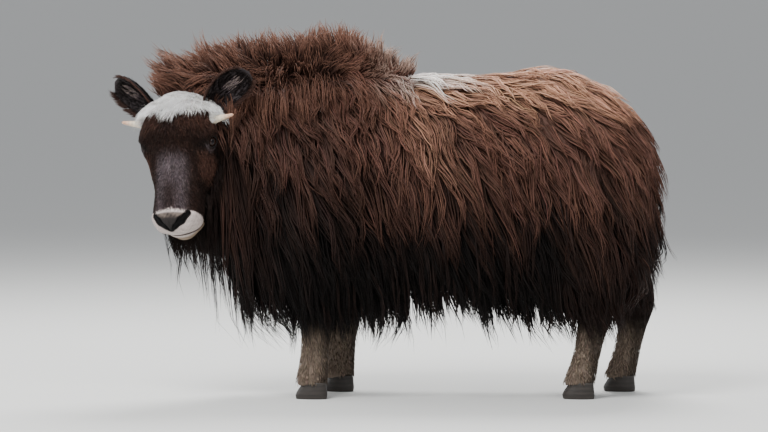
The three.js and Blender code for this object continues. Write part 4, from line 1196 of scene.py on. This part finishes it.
ear_sets = []
for side in (LEFT, RIGHT):
    for recipe in (
        (1500, (0.02, 0.98), (0, 1), -1, 0.016, 0.25, 0.1, BLACK, DARK),
        (600, (0.05, 0.95), (0, 0.95), 1, 0.014, 0.25, 0.1, BLACK, DARK),
        # painted highlight: a few pale grey hairs with fawn tips in each ear's upper half stand in for light
        # glinting on the inner hair
        (70, (0.40, 0.70), (0, 0.30), 1, 0.020, 0.3, -0.2, SLATE, FAWN),
        (900, (0.05, 0.99), (0.9, 1), 1, 0.020, 0.3, 0.8, DARK, BROWN),
    ):
        ear_sets.append(ear_tufts(side, *recipe))
paths, outs, colours, ear_uv = (np.concatenate(a) for a in zip(*ear_sets))
width = between(0.0016, 0.0026, len(paths))
coat.append(tuft_mesh("coat_ears", paths, outs, width, width * 0.4, colours, ear_uv))


# Eyes, horns and hooves
IRIS = srgb(34, 20, 13)
PUPIL = srgb(5, 4, 6)
SCLERA = srgb(26, 17, 14)
HORN_PALE = srgb(216, 202, 178)
HORN_WARM = srgb(200, 158, 132)
HORN_RIDGES = 55  # radians of the ridges' wave along the horn
CLAW = srgb(46, 41, 37)
HEEL = srgb(38, 33, 30)
HOOF_TOP = 0.0437
TOE_APART = 0.019
TOE_SPLAY = math.radians(7)
# Outline of a toe: height, half length, half width and how far back its middle lies
TOE_RINGS = np.array([
    (0, 0.0405, 0.0180, 0), (0.003, 0.0420, 0.0190, 0), (0.010, 0.0428, 0.0198, 0),
    (0.020, 0.0398, 0.0190, 0.002), (0.030, 0.0360, 0.0180, 0.005), (0.038, 0.0328, 0.0174, 0.007),
    (HOOF_TOP, 0.0310, 0.0170, 0.009),
])


def ring_turns(sides):
    return np.linspace(0, 2 * math.pi, sides, endpoint=False)


def eye_object(side, name):
    along, across, axis = eye_axes(side)
    polar = np.linspace(0.02, math.pi - 0.02, 40)[:, None]
    turn = ring_turns(48)[None]
    radius = EYE_R * (1 + 0.05 * smooth((0.62 - polar) / 0.25))
    a, b, c = np.sin(polar) * np.cos(turn), np.sin(polar) * np.sin(turn), np.cos(polar) + 0 * turn
    q = mirrored(EYE_AT, side) + radius[..., None] * (
        a[..., None] * along + b[..., None] * across + c[..., None] * axis)
    colours = np.broadcast_to(SCLERA, q.shape)
    colours = layer(colours, IRIS, smooth((0.60 - polar + 0 * turn) / 0.06))
    pupil = np.sqrt((a / 0.36) ** 2 + (b / 0.20) ** 2)
    colours = layer(colours, PUPIL, smooth((1.05 - pupil) / 0.15) * (c > 0))
    return mesh_object(name, *lathe(from_head(q)[:, ::-side], colours[:, ::-side]))


def horn_object(side, name):
    a, b = mirrored(HORN_FROM, side), mirrored(HORN_TO, side)
    middle = (a + b) / 2 + np.array([HORN_RISE, 0, HORN_RISE])
    t = np.linspace(0, 1, 48)[:, None]
    centre = (1 - t) ** 2 * a + 2 * t * (1 - t) * middle + t * t * b
    along = unit(np.gradient(centre, axis=0))
    side_way = unit(np.cross(along, np.array([0.3, 0.2, 1])))
    top = np.cross(side_way, along)
    ridges = 1 + 0.025 * np.sin(t * HORN_RIDGES) * (1 - t)
    radius = (mix(HORN_R[0], HORN_R[1], t**0.9) * ridges) * np.sqrt(np.clip((1.002 - t) / 0.06, 0, 1))
    turn = ring_turns(32)
    q = centre[:, None] + radius[:, None] * (
        np.cos(turn)[None, :, None] * side_way[:, None] + np.sin(turn)[None, :, None] * top[:, None])
    colours = layer(np.broadcast_to(HORN_PALE, q.shape), HORN_WARM, smooth((t - 0.55) / 0.35) + 0 * turn)
    colours = colours * (1 + 0.10 * np.sin(t * HORN_RIDGES + 1.5))[..., None]
    return mesh_object(name, *lathe(from_head(q), colours))


def hoof_object(x, side, name):
    """Two toes and the heel between them."""
    parts = []
    for toe in (LEFT, RIGHT):
        turn = ring_turns(28)
        z = np.linspace(0, HOOF_TOP, 16)
        long, wide, back = (np.interp(z, TOE_RINGS[:, 0], TOE_RINGS[:, i])[:, None] for i in (1, 2, 3))
        ridge = 1 + 0.008 * np.sin(z * 900)[:, None]
        dx = back + long * ridge * np.cos(turn) * (1 - 0.06 * (np.cos(turn) < 0) * np.abs(np.sin(turn)))
        dy = wide * ridge * np.sin(turn)
        splay = toe * TOE_SPLAY
        px = dx * math.cos(splay) - dy * math.sin(splay)
        py = dx * math.sin(splay) + dy * math.cos(splay) + toe * TOE_APART
        rows = stacked(x + px, side * HOOF_Y + py, z[:, None])
        colours = np.broadcast_to(CLAW, rows.shape) * (1 + 0.25 * np.sin(z * 520 + toe))[:, None, None]
        parts.append(lathe(rows, colours))
    polar = np.linspace(0.03, math.pi - 0.03, 16)[:, None]
    turn = ring_turns(24)[None]
    rows = stacked(
        x + 0.016 + 0.024 * np.sin(polar) * np.cos(turn),
        side * HOOF_Y + 0.022 * np.sin(polar) * np.sin(turn),
        0.0215 - 0.0205 * np.cos(polar),
    )
    parts.append(lathe(rows, np.broadcast_to(HEEL, rows.shape)))
    return mesh_object(name, *joined(parts))


# Materials
def material(name, roughness, specular, coat=0.0, coat_roughness=0.1):
    made = bpy.data.materials.new(name)
    made.use_nodes = True
    shader = made.node_tree.nodes["Principled BSDF"]
    shader.inputs["Roughness"].default_value = roughness
    shader.inputs["Specular IOR Level"].default_value = specular
    shader.inputs["Coat Weight"].default_value = coat
    shader.inputs["Coat Roughness"].default_value = coat_roughness
    return made, made.node_tree, shader


def node(tree, kind, **values):
    """A shader node with constant values in its sockets."""
    made = tree.nodes.new("ShaderNode" + kind)
    for name, value in values.items():
        made.inputs[name.replace("_", " ")].default_value = value
    return made


def painted(tree, shader, scale, low, high, stretch=(1, 1, 1), source=None):
    """The mesh's colours, broken up by noise between two brightnesses. Returns the noise's output.

    The noise runs in the UV map that source names, or else in the object's own space."""
    colour = node(tree, "Attribute")
    colour.attribute_name = "Coat"
    mapping = node(tree, "Mapping", Scale=stretch)
    noise = node(tree, "TexNoise", Scale=scale, Detail=4)
    steps = node(tree, "MapRange", From_Min=0.3, From_Max=0.7, To_Min=low, To_Max=high)
    product = node(tree, "VectorMath")
    product.operation = "SCALE"
    if source:
        uv = node(tree, "UVMap")
        uv.uv_map = source
        place = uv.outputs["UV"]
    else:
        place = node(tree, "TexCoord").outputs["Object"]
    for start, end in (
        (place, mapping.inputs["Vector"]),
        (mapping.outputs["Vector"], noise.inputs["Vector"]),
        (noise.outputs["Fac"], steps.inputs["Value"]),
        (colour.outputs["Color"], product.inputs[0]),
        (steps.outputs["Result"], product.inputs["Scale"]),
        (product.outputs["Vector"], shader.inputs["Base Color"]),
    ):
        tree.links.new(start, end)
    return noise.outputs["Fac"]


def bumped(tree, shader, height, distance, strength):
    bump = node(tree, "Bump", Distance=distance, Strength=strength)
    tree.links.new(height, bump.inputs["Height"])
    tree.links.new(bump.outputs["Normal"], shader.inputs["Normal"])


def textured(name, shine, paint, relief):
    """A material whose noise both breaks up its colour and makes its relief."""
    made, tree, shader = material(name, *shine)
    bumped(tree, shader, painted(tree, shader, *paint), *relief)
    return made


hair = textured("muskox_hair", (0.55, 0.14), (1.0, 0.62, 1.34, (1500, 22, 1), "Strand"), (0.0008, 0.8))
hide = textured("muskox_skin", (0.65, 0.2), (300, 0.80, 1.15), (0.0014, 0.7))
horn_look = textured("muskox_horn", (0.42, 0.45), (90, 0.85, 1.10, (1, 1, 3)), (0.0006, 0.5))
hoof_look = textured("muskox_hoof", (0.55, 0.4), (60, 0.75, 1.20, (1, 1, 6)), (0.0008, 0.6))
eye_look, tree, shader = material("muskox_eye", 0.08, 0.12, coat=0.25, coat_roughness=0.03)
painted(tree, shader, 400, 0.85, 1.15)


def finished(obj, look, slot, *nodes):
    obj.data.materials.append(look)
    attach(obj, "root")
    if nodes:
        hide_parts(*nodes)


FLESH = ["neck", "torso", "rump", "tail", "head", "left_ear", "right_ear",
         "left_foreleg", "right_foreleg", "left_hind_leg", "right_hind_leg"]
finished(skin, hide, "face", *FLESH)
for piece in coat:
    finished(piece, hair, "coat")
for side, word in ((-LEFT, "left"), (-RIGHT, "right")):  # signs in the head's frame
    finished(eye_object(side, f"{word}_eyeball"), eye_look, "eye", f"{word}_eye")
    finished(horn_object(side, f"{word}_horn_sheath"), horn_look, "horn", f"{word}_horn")
for name, x, side, _ in LEGS:
    node_name = name + ("hoof" if name.endswith("fore") else "_hoof")
    finished(hoof_object(x, side, name + "_claws"), hoof_look, "hoof", node_name)


# Floor, lights and camera
MIDDLE = (0, 0, 0.55)  # what the lights point at


def floor(half):
    mesh = bpy.data.meshes.new("floor")
    corners = [(-half, -half, 0), (half, -half, 0), (half, half, 0), (-half, half, 0)]
    mesh.from_pydata(corners, [], [(0, 1, 2, 3)])
    grey, _, shader = material("floor", 0.9, 0.2)
    shader.inputs["Base Color"].default_value = (0.62, 0.62, 0.60, 1)
    mesh.materials.append(grey)
    placed("floor", mesh)


def aimed(obj, at, towards):
    obj.location = at
    obj.rotation_euler = (Vector(towards) - Vector(at)).to_track_quat("-Z", "Y").to_euler()


def area_light(name, at, size, power):
    light = bpy.data.lights.new(name, "AREA")
    light.shape = "DISK"
    light.size = size
    light.energy = power
    aimed(placed(name, light), at, MIDDLE)


floor(2000)
area_light("key", (-1.6, -2.6, 4.0), 2.2, 270)
area_light("fill", (1.8, -3.6, 3.0), 1.2, 60)
area_light("back", (0.6, 2.6, 4.0), 2.4, 320)
area_light("side", (-3.4, 1.4, 2.2), 2.2, 60)
world = bpy.data.worlds.new("studio")
world.use_nodes = True
world.node_tree.nodes["Background"].inputs["Color"].default_value = (0.80, 0.82, 0.86, 1)
world.node_tree.nodes["Background"].inputs["Strength"].default_value = 0.72
bpy.context.scene.world = world

camera = bpy.data.cameras.new("photo_camera")
camera.lens = CAMERA_LENS
camera.sensor_width = CAMERA_SENSOR
camera.clip_end = 10000
photo_camera = placed("photo_camera", camera)
distance = PHOTO[0] * PIXEL * CAMERA_LENS / CAMERA_SENSOR
aim = Vector(((PHOTO[0] / 2 - PHOTO_ORIGIN[0]) * PIXEL + SHIFT[0], SHIFT[1],
              (PHOTO_ORIGIN[1] - PHOTO[1] / 2) * PIXEL + SHIFT[2]))
aimed(photo_camera, aim + Vector((0, -math.cos(CAMERA_DOWN), math.sin(CAMERA_DOWN))) * distance, aim)
bpy.context.scene.camera = photo_camera
